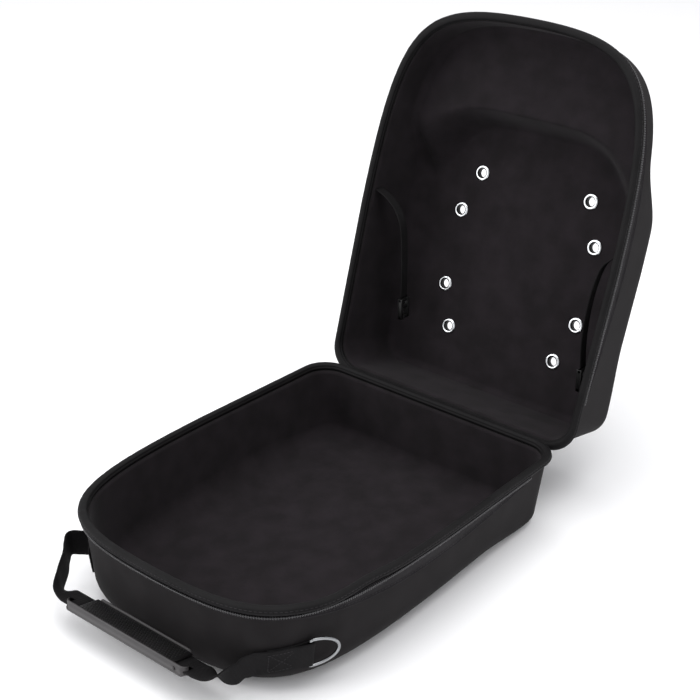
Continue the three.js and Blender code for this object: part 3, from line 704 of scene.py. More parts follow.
@dataclass(frozen=True)
class Wall:
    """The wall of a half: heights from the centre line of the lip, thickness and the lip's own size."""

    half: Half
    lean: Lean
    thickness: float = 0.0038
    lip_radius: float = 0.0036
    seat: float = 0.0027
    tray_rear: float = 0.0675
    tray_front: float = 0.0775
    lid_depth: float = 0.0753
    wall_rows: int = 12
    edge_rows: int = 12

    def lip_height(self) -> Array:
        """Height of the lip's centre line at each station, in the half's own frame."""
        if self.half is Half.LID:
            return np.zeros(OUTLINE.count)
        rise = (HALF_LENGTH - PLAN[:, 1]) / OUTLINE.length
        return between(self.tray_rear, self.tray_front, rise)

    def reach(self) -> Array:
        """The height over which the wall makes its whole lean, at each station."""
        return self.lip_height() if self.half is Half.TRAY else np.full(OUTLINE.count, self.lid_depth)

    def at(self, drop: Array | float, out: Array | float, share: Array | float | None = None) -> Array:
        """Returns a point beside the wall for every station.

        Args:
            drop: how far from the lip's centre line, towards the floor or the crown.
            out: how far out from the outer face.
            share: the share of the lean; worked out from drop when it is left out.

        Returns:
            Points in the half's own frame, one a station; rows of them for arguments that are columns.
        """
        share = drop / self.reach() if share is None else share
        plan = OUTLINE.place(self.lean.side * share - out, self.lean.front * share - out,
                             self.lean.rear * share - out)
        way = -1 if self.half is Half.TRAY else 1
        z = np.broadcast_to(self.lip_height() + way * drop, plan.shape[:-1])
        return np.concatenate([plan, z[..., None]], axis=-1)

    def rings(self, depth: Array, radius: Array, inward: float, uneven: Array,
              share: Array | None = None) -> list[Array]:
        """Returns rings of a face from the lip's seat down the wall and round its edge.

        Args:
            depth: how far below the lip's centre line the flat lies, at each station.
            radius: the edge's radius at each station.
            inward: how far in from the outer face it is.
            uneven: how uneven the wall is, at each station.
            share: the share of the lean round the edge; worked out from the depth when it is left out.
        """
        rows = []
        straight = depth - radius - self.seat
        for part in np.linspace(0, 1, self.wall_rows, endpoint=False):
            sag = math.sin(math.pi * part) * np.abs(uneven)
            rows.append(self.at(self.seat + straight * part, -inward - sag))
        for turn in np.linspace(0, math.pi / 2, self.edge_rows):
            bend = radius * (1 - math.cos(turn))
            rows.append(self.at(depth - radius * (1 - math.sin(turn)), -inward - bend, share))
        return rows

    def hollow(self, name: str, inner: Array, outer: Array) -> Obj:
        """Makes a shell of an inner and an outer face, standing in its place, with its lining inside."""
        slots = np.array([1] * (len(inner) - 1) + [0] * (len(outer) + 1))
        grid = self.stand(np.concatenate([inner[::-1], outer]))
        return Skin(grid, cap_first=True, cap_last=True, slots=slots).build(name, SHELL, LINING)

    def stand(self, points: Array) -> Array:
        """Takes points from the half's own frame to the standing case."""
        return HINGE.stand(points) if self.half is Half.LID else points

    def outward(self) -> Array:
        """Returns the way out from the wall at each station, level, on the standing case."""
        along = tangents(PLAN, closed=True)
        way = np.column_stack([-along[:, 1], along[:, 0], np.zeros(len(along))])
        return HINGE.turn(way) if self.half is Half.LID else way


TRAY_WALL = Wall(Half.TRAY, Lean(0.009, 0.003, 0.003), wall_rows=14)
LID_WALL = Wall(Half.LID, Lean(0.005, 0.003, 0.004))


TIGHTENS = (0.091, 0.021)


def edge_radius(radius: float, at_hinge: float) -> Array:
    """Returns an edge's radius at each station: edges are tighter near the hinge."""
    share = smooth(PLAN[:, 1], *(HALF_LENGTH - before for before in TIGHTENS))
    return between(radius, at_hinge, share)


@dataclass
class TrayShell:
    """The moulded tray: drafted walls with a full rounded edge to a flat floor."""

    wall: Wall = TRAY_WALL
    edge: float = 0.025
    rear_edge: float = 0.014
    floor_rows: int = 14
    floor_middle: Triple = (0.0, -0.01, 0.0)
    unevenness: float = 0.0005

    def face(self, inward: float) -> Array:
        """Returns one face as rings from the lip's seat to the middle of the floor."""
        height = self.wall.lip_height()
        edge = edge_radius(self.edge, self.rear_edge)
        uneven = ripple(TURN, self.unevenness, (3, 7, 11), inward * 400)
        rows = self.wall.rings(height - inward, edge - inward, inward, uneven, (height - edge) / height)
        rim = rows[-1]
        for share in np.linspace(0.94, 0.04, self.floor_rows):
            ring = rim * share + np.array(self.floor_middle) * (1 - share)
            ring[:, 2] = rim[:, 2]
            rows.append(ring)
        return np.stack(rows)

    def build(self) -> Obj:
        """Makes the tray, hollow, with its lining inside."""
        return self.wall.hollow("tray_shell", self.face(self.wall.thickness), self.face(0.0))


# How far the lid's step has run at each ring of the flat: close together on the step itself.
RING_RUNS = (-2.6, -1.8, -1.2, -0.8, -0.5, *np.linspace(-0.35, 1.0, 32), 1.1, 1.25, 1.5, 1.9, 2.5)


@dataclass
class LidShell:
    """The moulded lid: a deep crown end at the hinge and a shallow peak end, with an arched step between."""

    wall: Wall = LID_WALL
    crown: float = 0.0753
    peak: float = 0.038
    crown_edge: float = 0.020
    rear_edge: float = 0.010
    peak_edge: float = 0.010
    step_from_hinge: float = 0.2663
    step_run: float = 0.020
    step_run_sides: float = 0.047
    step_bow: float = 0.017
    crest: float = 0.07
    eyelet_middle: float = 0.1286
    squeeze: float = 0.0045
    unevenness: float = 0.0004

    def towards_sides(self, x: Array, power: int) -> Array:
        """Grows from 0 in the middle to 1 beside the walls, late for a high power, and ends level."""
        share = np.minimum(np.abs(x) / (HALF_WIDTH - self.crown_edge), 1.0)
        return (power + 1) * share**power - power * share ** (power + 1)

    def run(self, x: Array, y: Array, inward: float) -> Array:
        """Returns how far the step has run at plan points: 0 on its arched ridge, 1 at its foot."""
        ridge = self.step_from_hinge - inward - self.step_bow * self.towards_sides(x, 5)
        whole = self.step_run - inward + self.step_run_sides * self.towards_sides(x, 7)
        return (ridge - (HALF_LENGTH - y)) / whole

    def step(self, x: Array, y: Array, inward: float) -> Array:
        """Returns the share between the peak end (0) and the crown end (1).

        The ridge is steep and the foot round in the middle; beside the walls both are soft.
        """
        run = self.run(x, y, inward)
        eased = np.clip((run + np.sqrt(run * run + self.crest**2)) / 2 - self.crest**2 / 4, 0, 1)
        steep = np.sin(math.pi / 2 * eased) * smooth(run, -0.35, -0.1)
        soft = (1 - np.cos(math.pi * np.clip(run, 0, 1))) / 2
        return between(steep, soft, self.towards_sides(x, 5))

    def depth(self, x: Array, y: Array, inward: float) -> Array:
        """Returns how deep a face is at plan points."""
        return between(self.peak, self.crown, self.step(x, y, inward)) - inward

    @property
    def middle(self) -> float:
        """Y of the crown's middle, in plan."""
        return HALF_LENGTH - self.eyelet_middle

    def drawn_in(self, rim: Array, share: Array) -> tuple[Array, Array]:
        """Returns X and Y a share of the way from the crown's middle to each rim point."""
        return rim[:, 0] * share, between(self.middle, rim[:, 1], share)

    def share_of_run(self, rim: Array, run: float, inward: float) -> Array:
        """Returns how far out from the lid's middle, towards each rim point, the step has run so far."""
        near, far = np.zeros(len(rim)), np.ones(len(rim))
        for _ in range(22):
            share = (near + far) / 2
            beyond = self.run(*self.drawn_in(rim, share), inward) > run
            near, far = np.where(beyond, share, near), np.where(beyond, far, share)
        return far

    def face(self, inward: float) -> Array:
        """Returns one face as rings from the lip's seat to the middle of the crown.

        The rings of the flat follow the step; they lie close inside the rim where it does not reach.
        """
        crown_edge = edge_radius(self.crown_edge, self.rear_edge)
        share = np.ones(OUTLINE.count)
        for _ in range(6):
            radius = between(self.peak_edge, crown_edge, share)
            lean = between(self.peak, self.crown, share) / self.crown
            rim_plan = OUTLINE.place(*(way * lean + radius for way in astuple(self.wall.lean)))
            share = 0.3 * share + 0.7 * self.step(rim_plan[:, 0], rim_plan[:, 1], inward)
        depth = between(self.peak, self.crown, share) - inward
        radius = between(self.peak_edge, crown_edge, share) - inward
        uneven = ripple(TURN, self.unevenness, (4, 9, 13), inward * 300)
        rows = self.wall.rings(depth, radius, inward, uneven)
        rim = rows[-1]
        for k, run in enumerate(RING_RUNS):
            part = np.minimum(1 - self.squeeze * (k + 1), self.share_of_run(rim, run, inward))
            rows.append(self._flat(rim, part, inward))
        for more in np.linspace(0.9, 0.05, 10):
            rows.append(self._flat(rim, part * more, inward))
        return np.stack(rows)

    def _flat(self, rim: Array, part: Array, inward: float) -> Array:
        """Returns a ring of the flat, drawn in from the rim towards the lid's middle."""
        x, y = self.drawn_in(rim, part)
        return np.column_stack([x, y, self.depth(x, y, inward)])

    def build(self, holes: list[Array], hole_radius: float) -> Obj:
        """Makes the lid, hollow, with a hole for each eyelet.

        Args:
            holes: plan points of the eyelets.
            hole_radius: how wide each hole is.
        """
        shell = self.wall.hollow("lid_shell_cloth", self.face(self.wall.thickness), self.face(0.0))
        self._drill(shell, holes, hole_radius)
        return shell

    def _drill(self, shell: Obj, holes: list[Array], radius: float) -> None:
        """Cuts the eyelets' holes through the crown."""
        drills = []
        for hole in holes:
            shape = bmesh.new()
            bmesh.ops.create_cone(shape, cap_ends=True, segments=32, radius1=radius, radius2=radius,
                                  depth=self.wall.thickness * 5)
            centre = HINGE.stand(np.array([*hole, self.crown - self.wall.thickness / 2]))
            drills.append(link("drill", place_mesh(pour(shape), centre, *HINGE.turn(np.eye(3)))))
        cutter = joined("drills", drills)
        cut = shell.modifiers.new("holes", "BOOLEAN")
        cut.operation, cut.solver, cut.object = "DIFFERENCE", "EXACT", cutter
        seen = bpy.context.evaluated_depsgraph_get()
        done = bpy.data.meshes.new_from_object(shell.evaluated_get(seen), depsgraph=seen)
        shell.modifiers.clear()
        shell.data = done
        bpy.data.objects.remove(cutter)


@dataclass
class Lip:
    """The padded binding rolled over the edge of a half, with its sewn groove and small puckers."""

    wall: Wall
    sides: int = 26
    groove: float = 0.0007
    seam_turn: float = 0.25
    inner_groove_turn: float = 2.75
    groove_spread: float = 0.16
    pucker: float = 0.00022
    puckers_round: int = 118
    pucker_rear: float = 0.35
    pucker_grows: tuple[float, float] = (-0.02, 0.10)
    overlap: float = 0.0003
    sway: float = 0.0
    sways: tuple[Triple, ...] = ((1.0, -0.075, 0.022), (-0.7, -0.118, 0.020))

    def build(self, name: str) -> Obj:
        """Makes the lip round the whole outline."""
        radius = self.wall.lip_radius
        start = -math.asin((self.wall.seat - self.overlap) / radius)
        turns = np.linspace(start, math.pi - start, self.sides)
        pucker = ripple(TURN, self.pucker, (self.puckers_round, self.puckers_round + 37, 61))
        bow = between(self.pucker_rear, 1.0, smooth(-PLAN[:, 1], *self.pucker_grows))
        rows = []
        for turn in turns:
            sewn = self.groove * sum(math.exp(-((turn - middle) / self.groove_spread) ** 2)
                                     for middle in (self.seam_turn, self.inner_groove_turn))
            r = radius - sewn + pucker * bow * max(math.sin(turn), 0.0)
            rows.append(self._sway(self.wall.at(-r * math.sin(turn), r * math.cos(turn), 0.0)))
        grid = self.wall.stand(np.stack(rows))
        run_round = np.append(turns, turns[-1] + 0.8) * radius
        skin = Skin(grid, rows_close=True, row_run=run_round, column_run=ROUND)
        return skin.build(name, BINDING)

    def _sway(self, points: Array) -> Array:
        """Bends the soft edge a little out of true, where the photographed one sways."""
        y, right = PLAN[:, 1], PLAN[:, 0] > 0
        wave = sum(share * np.exp(-(((y - middle) / width) ** 2)) for share, middle, width in self.sways)
        moved = points.copy()
        moved[:, 0] -= right * wave * self.sway
        return moved

    def seam(self, name: str) -> Obj:
        """Lays the stitches that hold the binding, in its outer groove."""
        radius, turn = self.wall.lip_radius - self.groove * 0.75, self.seam_turn
        path = self._sway(self.wall.at(-radius * math.sin(turn), radius * math.cos(turn), 0.0))
        return Stitches().lay(name, self.wall.stand(path), self.wall.outward(), closed=True)


@dataclass
class Zip:
    """The zip of one half: woven tape with a sewn welt, and a row of moulded teeth under the lip."""

    wall: Wall
    tape_gap: float = 0.0003
    tape_thickness: float = 0.0008
    tape_drop: float = 0.0034
    tape_height: float = 0.0046
    tape_swell: float = 0.012
    widens: float = -0.142
    narrows: float = 0.136
    end_from_corner: float = 0.020
    teeth_drop: float = 0.0054
    teeth_pitch: float = 0.0019
    cord: float = 0.0006
    welt: float = 0.0007
    welt_section: tuple[tuple[float, float], ...] = (
        (0.0017, 0.0), (0.0012, 0.7), (0.0006, 1.0), (0.0001, 0.5))
    seam_lift: float = 0.0026
    teeth_out: float = 0.0009

    def span(self) -> slice:
        """The stations that the zip runs over."""
        limit = HALF_LENGTH - OUTLINE.corner - self.end_from_corner
        first = int(np.argmax((PLAN[:, 1] <= limit) & (np.arange(len(PLAN)) > 0)))
        return slice(first, len(PLAN) - first + 1)

    def bottom(self) -> Array:
        """How far below the lip's centre line the tape ends, at each station."""
        share = np.clip((PLAN[:, 1] - self.widens) / (self.narrows - self.widens), 0, 1)
        return self.tape_drop + self.tape_height + self.tape_swell * np.sin(math.pi * share)

    def tape(self, name: str) -> Obj:
        """Makes the tape: a thin band with a raised welt along its free edge."""
        bottom, top = self.bottom(), self.tape_drop
        near, far = self.tape_gap, self.tape_gap + self.tape_thickness
        flat = ((0.0, near), (0.0, far), (0.3, far), (0.6, far))
        edge = [(lift, far + self.welt * share) for lift, share in self.welt_section]
        edge += [(0.0, far - 0.0002), (0.0, near)]
        rows = [self.wall.at(between(top, bottom, share), out) for share, out in flat]
        rows += [self.wall.at(bottom - lift, out) for lift, out in edge]
        rows.append(self.wall.at(between(top, bottom, 0.5), near))
        grid = self.wall.stand(np.stack(rows))[:, self.span()].transpose(1, 0, 2)
        across = np.append(path_length(grid[len(grid) // 2]), 0.03)
        skin = Skin(grid, cap_first=True, cap_last=True, row_run=ROUND[self.span()], column_run=across)
        return skin.build(name, TAPE)

    def _row(self, drop: Array | float, out: float) -> tuple[Array, Array]:
        """Returns a path beside the wall over the zip's span, and the way out from it."""
        return self.wall.stand(self.wall.at(drop, out))[self.span()], self.wall.outward()[self.span()]

    def teeth(self, name: str) -> Obj:
        """Makes the row of teeth and the cord that they are moulded on."""
        out = self.tape_gap + self.tape_thickness + self.teeth_out
        path, way = self._row(self.teeth_drop, out)
        sizes = {"Pitch": self.teeth_pitch, "Along": 0.0013, "Across": 0.0030, "Proud": 0.0021}
        row = ROWS.lay(name + "_row", path, way, sizes, TEETH, sides=8)
        core = tube(name + "_core", path, self.cord, TEETH, sides=6)
        return joined(name, [row, core])

    def seam(self, name: str) -> Obj:
        """Lays the stitches along the tape's free edge."""
        path, way = self._row(self.bottom() - self.seam_lift, self.tape_gap + self.tape_thickness + 0.0001)
        return Stitches(pitch=0.0034, length=0.0027).lay(name, path, way)


def tube(name: str, path: Array, radius: float, finish: Finish, sides: int, closed: bool = False) -> Obj:
    """Makes a round wire along a path.

    Args:
        name: the object's name.
        path: places on its centre line.
        radius: the wire's radius.
        finish: what it is made of.
        sides: how many sides its section has.
        closed: whether the path closes on itself.
    """
    along = tangents(path, closed)
    first = np.cross(along, UP)
    weak = np.linalg.norm(first, axis=1) < 0.2
    first[weak] = np.cross(along[weak], RIGHTWARDS)
    first = unit(first)
    for k in range(1, len(first)):
        carried = first[k - 1] - along[k] * (first[k - 1] @ along[k])
        first[k] = carried / np.linalg.norm(carried)
    second = np.cross(along, first)
    angle = np.linspace(0, TAU, sides, endpoint=False)
    grid = (path[:, None] + radius * (np.cos(angle)[None, :, None] * first[:, None]
                                      + np.sin(angle)[None, :, None] * second[:, None]))
    run = np.append(path_length(path), path_length(path)[-1] + 0.001)
    skin = Skin(grid, rows_close=closed, cap_first=not closed, cap_last=not closed, row_run=run,
                column_run=np.append(angle, TAU) * radius)
    return skin.build(name, finish)


@dataclass(frozen=True)
class Ribbon:
    """A flat woven strip with soft edges."""

    width: float
    thickness: float
    finish: Finish
    ribs_across: int = 9

    def build(self, name: str, path: Array, across: Array) -> Obj:
        """Makes the strip.

        Args:
            name: the object's name.
            path: places on its centre line.
            across: the way of its width at each place.
        """
        along = tangents(path)
        wide = unit(across - along * np.sum(across * along, axis=1, keepdims=True))
        thick = np.cross(along, wide)
        w, t = self.width / 2, self.thickness / 2
        soft = t * 0.8
        flat = [(x, t) for x in np.linspace(-(w - soft), w - soft, self.ribs_across)]
        half = np.array([*flat, (w - soft * 0.35, t * 0.75), (w, 0.0), (w - soft * 0.35, -t * 0.75)])
        section = np.vstack([half, -half])
        grid = path[:, None] + section[None, :, :1] * wide[:, None] + section[None, :, 1:] * thick[:, None]
        round_section = path_length(np.vstack([section, section[:1]]))
        skin = Skin(grid, cap_first=True, cap_last=True, row_run=path_length(path), column_run=round_section)
        return skin.build(name, self.finish)


@dataclass
class HingeCloth:
    """The strip of fabric that joins lid and tray, sewn to both rear walls and free between them."""

    width: float = 0.190
    thickness: float = 0.001
    reach: float = 0.014
    gap: float = 0.0003
    sewn_margin: float = 0.0007
    tray_fold: float = 0.007
    tray_top: float = 0.0012
    lid_start: tuple[float, float] = (0.0002, 0.0008)
    lid_bend: tuple[float, float] = (0.7, 0.0026)
    over_lip: tuple[float, float] = (0.55, 0.0012)
    past_lip: float = 0.0042

    def paths(self) -> tuple[Array, Array]:
        """Returns the strip's line from tray to lid, in the frame, at the middle of its width."""
        line = HINGE.line
        y = HALF_LENGTH + self.gap + self.thickness / 2
        lean = TRAY_WALL.lean.rear * (self.reach + HINGE.below) / TRAY_WALL.tray_front
        tray = [[0, y - lean, line[2] - self.sewn_margin - self.reach],
                [0, y - lean * 0.5, line[2] - self.tray_fold], [0, y, line[2] - self.tray_top]]
        lip = TRAY_WALL.lip_radius
        beside = lip + self.gap * 2 + self.thickness / 2
        flat = self.gap + self.thickness / 2
        end = lip + self.gap + self.reach
        b = HINGE.behind
        lid = [[b + self.lid_start[0], -HINGE.lift + self.lid_start[1]],
               [between(b, beside, self.lid_bend[0]), -HINGE.lift + self.lid_bend[1]],
               [beside, -HINGE.lift + HINGE.below], [beside, 0.0],
               [between(flat, beside, self.over_lip[0]), lip + self.over_lip[1]], [flat, lip + self.past_lip],
               [flat - LID_WALL.lean.rear * end / LID_WALL.lid_depth, end]]
        points = np.array([[0.0, HALF_LENGTH + y2, z2] for y2, z2 in lid])
        return np.array(tray, float), HINGE.stand(points)

    def build(self) -> Obj:
        """Makes the strip as one piece that bends along the hinge."""
        tray, lid = self.paths()
        path = curve_through(np.vstack([tray, lid]), 90)
        across = np.tile(RIGHTWARDS, (len(path), 1))
        strip = Ribbon(self.width, self.thickness, TAPE, ribs_across=25).build("hinge_cloth", path, across)
        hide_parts("hinge_strip_base", "hinge_strip_lid")
        HINGE.line[2]
        HINGE.line[2]
        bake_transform(strip)
        return strip


@dataclass
class Eyelets:
    """Eight pressed rings in two rows each side of the crown's middle."""

    lid: LidShell
    places: tuple[tuple[float, float], ...] = (
        (0.058, 0.0739), (0.072, 0.0358), (0.072, -0.0358), (0.058, -0.0739))
    flange: float = 0.0074
    barrel: float = 0.0049
    hole: float = 0.0041
    proud: float = 0.0011
    shade_rows: int = 4
    play: float = 0.0003
    segments: int = 48

    def centres(self) -> list[Array]:
        """Plan points of the eyelets, left before right, front before rear."""
        return [np.array([side.value * across, self.lid.middle - along])
                for across, along in self.places for side in Side]

    def profile(self) -> Array:
        """Returns radius and height round the ring's section, a closed line with a rolled bead each side."""
        half = self.lid.wall.thickness / 2 + 0.0002
        centre = (self.hole + self.flange) / 2
        across = (self.flange - self.hole) / 2
        bead = np.array([(centre - across * math.cos(a), half + self.proud * math.sin(a))
                         for a in np.linspace(0, math.pi, 13)])
        barrel = [(self.barrel, half), (self.barrel, -half)]
        return np.vstack([bead, barrel, bead[::-1] * (1, -1)])

    def build(self, number: int, centre: Array) -> Obj:
        """Makes one eyelet in its hole."""
        angle = np.linspace(0, TAU, self.segments, endpoint=False)
        profile = self.profile()
        grid = np.stack([
            centre[0] + profile[:, :1] * np.cos(angle),
            centre[1] + profile[:, :1] * np.sin(angle),
            self.lid.crown - self.lid.wall.thickness / 2 + profile[:, 1:] + 0 * angle,
        ], axis=-1)
        rows = len(profile)
        # The hole's wall and the inner rows of both beads take the dark plate: painted shade inside the hole.
        deep = np.zeros(rows, dtype=int)
        deep[[*range(self.shade_rows), *range(rows - 1 - self.shade_rows, rows)]] = 1
        skin = Skin(HINGE.stand(grid), rows_close=True, slots=deep)
        return skin.build(f"vent_ring_{number}", PLATE, BARREL_SHADE)


@dataclass
class Handle:
    """The carry handle: webbing from both wire rings to a moulded grip that lies along the front wall."""

    webbing: Ribbon = Ribbon(0.021, 0.0015, WEBBING)
    wire: float = 0.0013
    ring_depth: float = 0.022
    ring_height: float = 0.034
    ring_place: float = -0.126
    ring_stand_off: float = 0.08
    ring_corner: float = 0.0018
    under_places: tuple[float, ...] = (0.028, 0.024, 0.020, 0.015, 0.010, 0.006)
    lap_places: tuple[float, ...] = (0.022, 0.030, 0.037)
    entry_places: tuple[float, ...] = (0.009, 0.006, 0.003, 0.0, -0.008)
    route_end: float = 0.012
    look_ahead: float = 0.002
    twists: dict[Side, tuple[float, float]] = field(
        default_factory=lambda: {Side.LEFT: (0.7, 1.0), Side.RIGHT: (0.3, 0.95)})
    tack_margin: float = 0.0028
    tack_start: float = 0.0105
    tack_ends: dict[Side, float] = field(default_factory=lambda: {Side.LEFT: 0.0135, Side.RIGHT: 0.0285})
    play: float = 0.0006
    sink: float = 0.14
    gap: float = 0.0003
    under_gap: float = 0.0005
    grip_length: float = 0.126
    grip_width: float = 0.024
    grip_thickness: float = 0.0085
    grip_centre: Triple = (-0.008, -0.185, 0.026)
    grip_tilt: float = math.radians(13.5)
    grip_entry: float = 0.006
    grip_wall: float = 0.0014
    grip_edge: float = 0.0007
    grip_floor: float = -0.0009
    grip_end_round: float = 0.004
    far_wall_ends: tuple[float, float] = (0.0125, 0.0165)
    insert_from_end: float = 0.0125
    insert_margin: float = 0.0016
    insert_middle: float = 0.0016
    insert_top: float = 0.0031
    domes_from_end: float = 0.016
    domes_reach: float = 0.0084
    dome_rows: int = 8
    ring_from_front: float = 0.045
    routes: dict[Side, tuple[Triple, ...]] = field(default_factory=lambda: {
        Side.LEFT: ((0.21, 0.4, -0.12), (0.3, 0.75, -0.4), (0.46, 0.8, -0.2), (0.66, 0.84, 0.08),
                    (0.92, 1.15, 0.5), (1.06, 1.22, 0.8)),
        Side.RIGHT: ((0.98, 0.17, 0.9), (1.08, 0.45, 1.19), (1.29, 0.72, 1.19)),
    })

    def __post_init__(self) -> None:
        """Works out how far out from the wall the bar and the two layers of webbing lie."""
        t = self.webbing.thickness
        self.bar_out = self.under_gap + t + self.gap + self.wire
        self.under_out = self.under_gap + t / 2
        self.over_out = self.under_out + t + self.gap
        self.wrap = self.wire + self.gap + t / 2

    def beside(self, forward: float, out: float, z: float) -> tuple[Array, Array, Array]:
        """Finds a place beside the tray's right wall.

        Args:
            forward: how far from the ring's bar along the wall, towards the front.
            out: how far out from the wall.
            z: the height.

        Returns:
            The place, the way along the wall there and the way out.
        """
        line = TRAY_WALL.at(TRAY_WALL.lip_height() - z, 0.0)[: FRONT + 1]
        run = path_length(line)
        start = np.interp(-self.ring_place, -line[:, 1], run)
        want = np.clip(start + forward, 0, run[-1])
        here, ahead = (np.array([np.interp(want + more, run, line[:, k]) for k in range(3)])
                       for more in (0.0, self.look_ahead))
        along = unit(ahead - here)
        away = np.array([-along[1], along[0], 0.0])
        return here + away * out, along, away

    def on_wall(self, forward: float, out: float) -> tuple[Array, Array]:
        """Returns a place of the webbing on the wall, and the way of its width, which follows the wall."""
        z = self.ring_height - max(forward, 0.0) * self.sink
        above = self.beside(forward, out, z + self.webbing.width / 2)[0]
        below = self.beside(forward, out, z - self.webbing.width / 2)[0]
        return (above + below) / 2, unit(above - below)

    def fold(self) -> list[tuple[float, float]]:
        """Returns forward and out of the webbing's end: flat on the wall, round the bar and back."""
        under = [(forward, self.under_out) for forward in self.under_places]
        turn = [(-self.wrap * math.cos(a), self.bar_out + self.wrap * math.sin(a))
                for a in np.linspace(-math.pi / 2, math.pi / 2, 13)]
        crest = (self.over_out + self.bar_out + self.wrap) / 2
        return [*under, *turn, (0.007, crest), (0.010, self.over_out + 0.0006), (0.014, self.over_out)]

    def wide_at_grip(self) -> Array:
        """Returns the way of the webbing's width where it enters the grip."""
        return np.array([0.0, -math.cos(self.grip_tilt), math.sin(self.grip_tilt)])

    def mouth(self, side: Side, outside: float) -> Array:
        """Returns the place where the webbing runs into an end of the grip."""
        x, y, z = self.grip_centre
        return np.array([x + side.value * (self.grip_length / 2 - self.grip_entry + outside), y, z])

    def run(self, side: Side) -> tuple[Array, Array]:
        """Returns the webbing's line and the way of its width along it."""
        laps = [(forward, self.over_out) for forward in self.lap_places]
        stretch = self.fold() + laps if side is Side.RIGHT else self.fold()[:-2]
        laid = [self.on_wall(forward, out) for forward, out in stretch]
        places, wide = (side.mirror(column) for column in zip(*laid))
        stops = [places[-1], *self._route(side), self.mouth(side, self.route_end)]
        free = curve_through(np.array(stops), 56)
        share = np.linspace(0, 1, len(free))
        turn = smooth(share, *self.twists[side])[:, None]
        wide_free = unit(wide[-1] * (1 - turn) + self.wide_at_grip() * turn)
        entry = np.array([self.mouth(side, outside) for outside in self.entry_places])
        wide_entry = np.tile(self.wide_at_grip(), (len(entry), 1))
        return np.vstack([places, free[1:], entry]), np.vstack([wide, wide_free[1:], wide_entry])

    def _route(self, side: Side) -> list[Array]:
        """Returns the places that the free webbing passes between the wall and the grip."""
        places = []
        for forward, out, fall in self.routes[side]:
            z = between(self.ring_height, self.grip_centre[2], fall)
            sideways = self.over_out + out * self.webbing.width
            place = self.beside(forward * self.ring_from_front, sideways, z)[0]
            places.append(side.mirror(place))
        return places

    def strap(self, side: Side) -> Obj:
        """Makes one side's webbing."""
        path, wide = self.run(side)
        return self.webbing.build(f"carry_webbing_{side.label}", path, wide)

    def tack(self, side: Side) -> Obj:
        """Sews the box of stitches that holds the webbing's fold."""
        half = self.webbing.width / 2 - self.tack_margin
        start, end = self.tack_start, self.tack_ends[side]
        out = self.over_out + self.webbing.thickness / 2
        marks = [(start, -half), (end, -half), (end, half), (start, half), (start, -half)]
        if side is Side.RIGHT:
            marks += [(end, half), (end, -half), (start, half)]
        corners = np.array(marks)
        dense = resample(corners, 60)
        path, ways = [], []
        for forward, up in dense:
            place, wide = self.on_wall(forward, out)
            path.append(place + wide * up)
            ways.append(self.beside(forward, 0.0, self.ring_height)[2])
        path, ways = side.mirror(path), side.mirror(ways)
        return Stitches(pitch=0.0026, length=0.0021).lay(f"ring_tack_{side.label}", path, ways)

    def ring(self, side: Side) -> Obj:
        """Makes one wire ring: a straight bar in the webbing's fold and a round bow."""
        bar, along, away = self.beside(0.0, self.bar_out, self.ring_height)
        up = self.on_wall(0.0, self.bar_out)[1]
        half = self.webbing.width / 2 + self.play + self.wire
        corner = self.ring_corner
        bow = [(corner + (self.ring_depth - corner) * math.cos(a), half * math.sin(a))
               for a in np.linspace(math.pi / 2, -math.pi / 2, 33)]
        corners = [(0.0, -half + corner), (0.0, half - corner), (corner * 0.3, half - corner * 0.3)]
        flat = np.array(corners + bow + [(corner * 0.3, -half + corner * 0.3)])
        flat = resample(np.vstack([flat, flat[:1]]), 96)[:-1]
        path = bar - along * flat[:, :1] + away * flat[:, :1] * self.ring_stand_off + up * flat[:, 1:]
        # The ring's plate is darkened to paint in dimmer reflections.
        return tube(f"wire_ring_{side.label}", side.mirror(path), self.wire, WIRE, sides=14, closed=True)

    def grip_axes(self) -> Array:
        """Returns the grip's own three directions in the frame, one a row."""
        c, s = math.cos(self.grip_tilt), math.sin(self.grip_tilt)
        return np.array([[1.0, 0.0, 0.0], [0.0, c, -s], [0.0, s, c]])

    def at_grip(self, local: Array) -> Array:
        """Takes points from the grip's own axes to the frame."""
        return np.array(self.grip_centre) + np.asarray(local) @ self.grip_axes()

    def grip_body(self) -> Obj:
        """Makes the moulded body: a channel whose near wall runs full length and far wall stops short."""
        half, w, t = self.grip_length / 2, self.grip_width / 2, self.grip_thickness / 2
        floor, end_round = self.grip_floor, self.grip_end_round
        xs = half * np.sin(np.linspace(-math.pi / 2, math.pi / 2, 121))
        rows = []
        for x in xs:
            from_end = half - abs(x)
            tuck = end_round * (1 - math.sqrt(max(1 - (1 - min(from_end / end_round, 1)) ** 2, 0)))
            near, far = -w + tuck, w - tuck
            far_top = floor + 0.0006 + (t - floor - 0.0006) * float(smooth(from_end, *self.far_wall_ends))
            bottom = -t + 0.0012 * (1 - float(smooth(from_end, 0.0, 0.003)))
            rows.append(self._channel(near, far, bottom, t, far_top))
        sections = np.array(rows)
        along = np.broadcast_to(xs[:, None, None], (*sections.shape[:2], 1))
        local = np.concatenate([along, sections], axis=-1)
        return Skin(self.at_grip(local), cap_first=True, cap_last=True).build("grip_body", GRIP)

    def _channel(self, near: float, far: float, bottom: float, near_top: float,
                 far_top: float) -> list[tuple[float, float]]:
        """Returns the channel's section, rounded at its edges, near side first."""
        floor, wall, edge = self.grip_floor, self.grip_wall, self.grip_edge

        def rounded(y: float, z: float, y_in: float, z_in: float) -> list[tuple[float, float]]:
            steps = np.linspace(0, math.pi / 2, 5)
            return [(y + y_in * (1 - math.sin(a)), z + z_in * (1 - math.cos(a))) for a in steps]

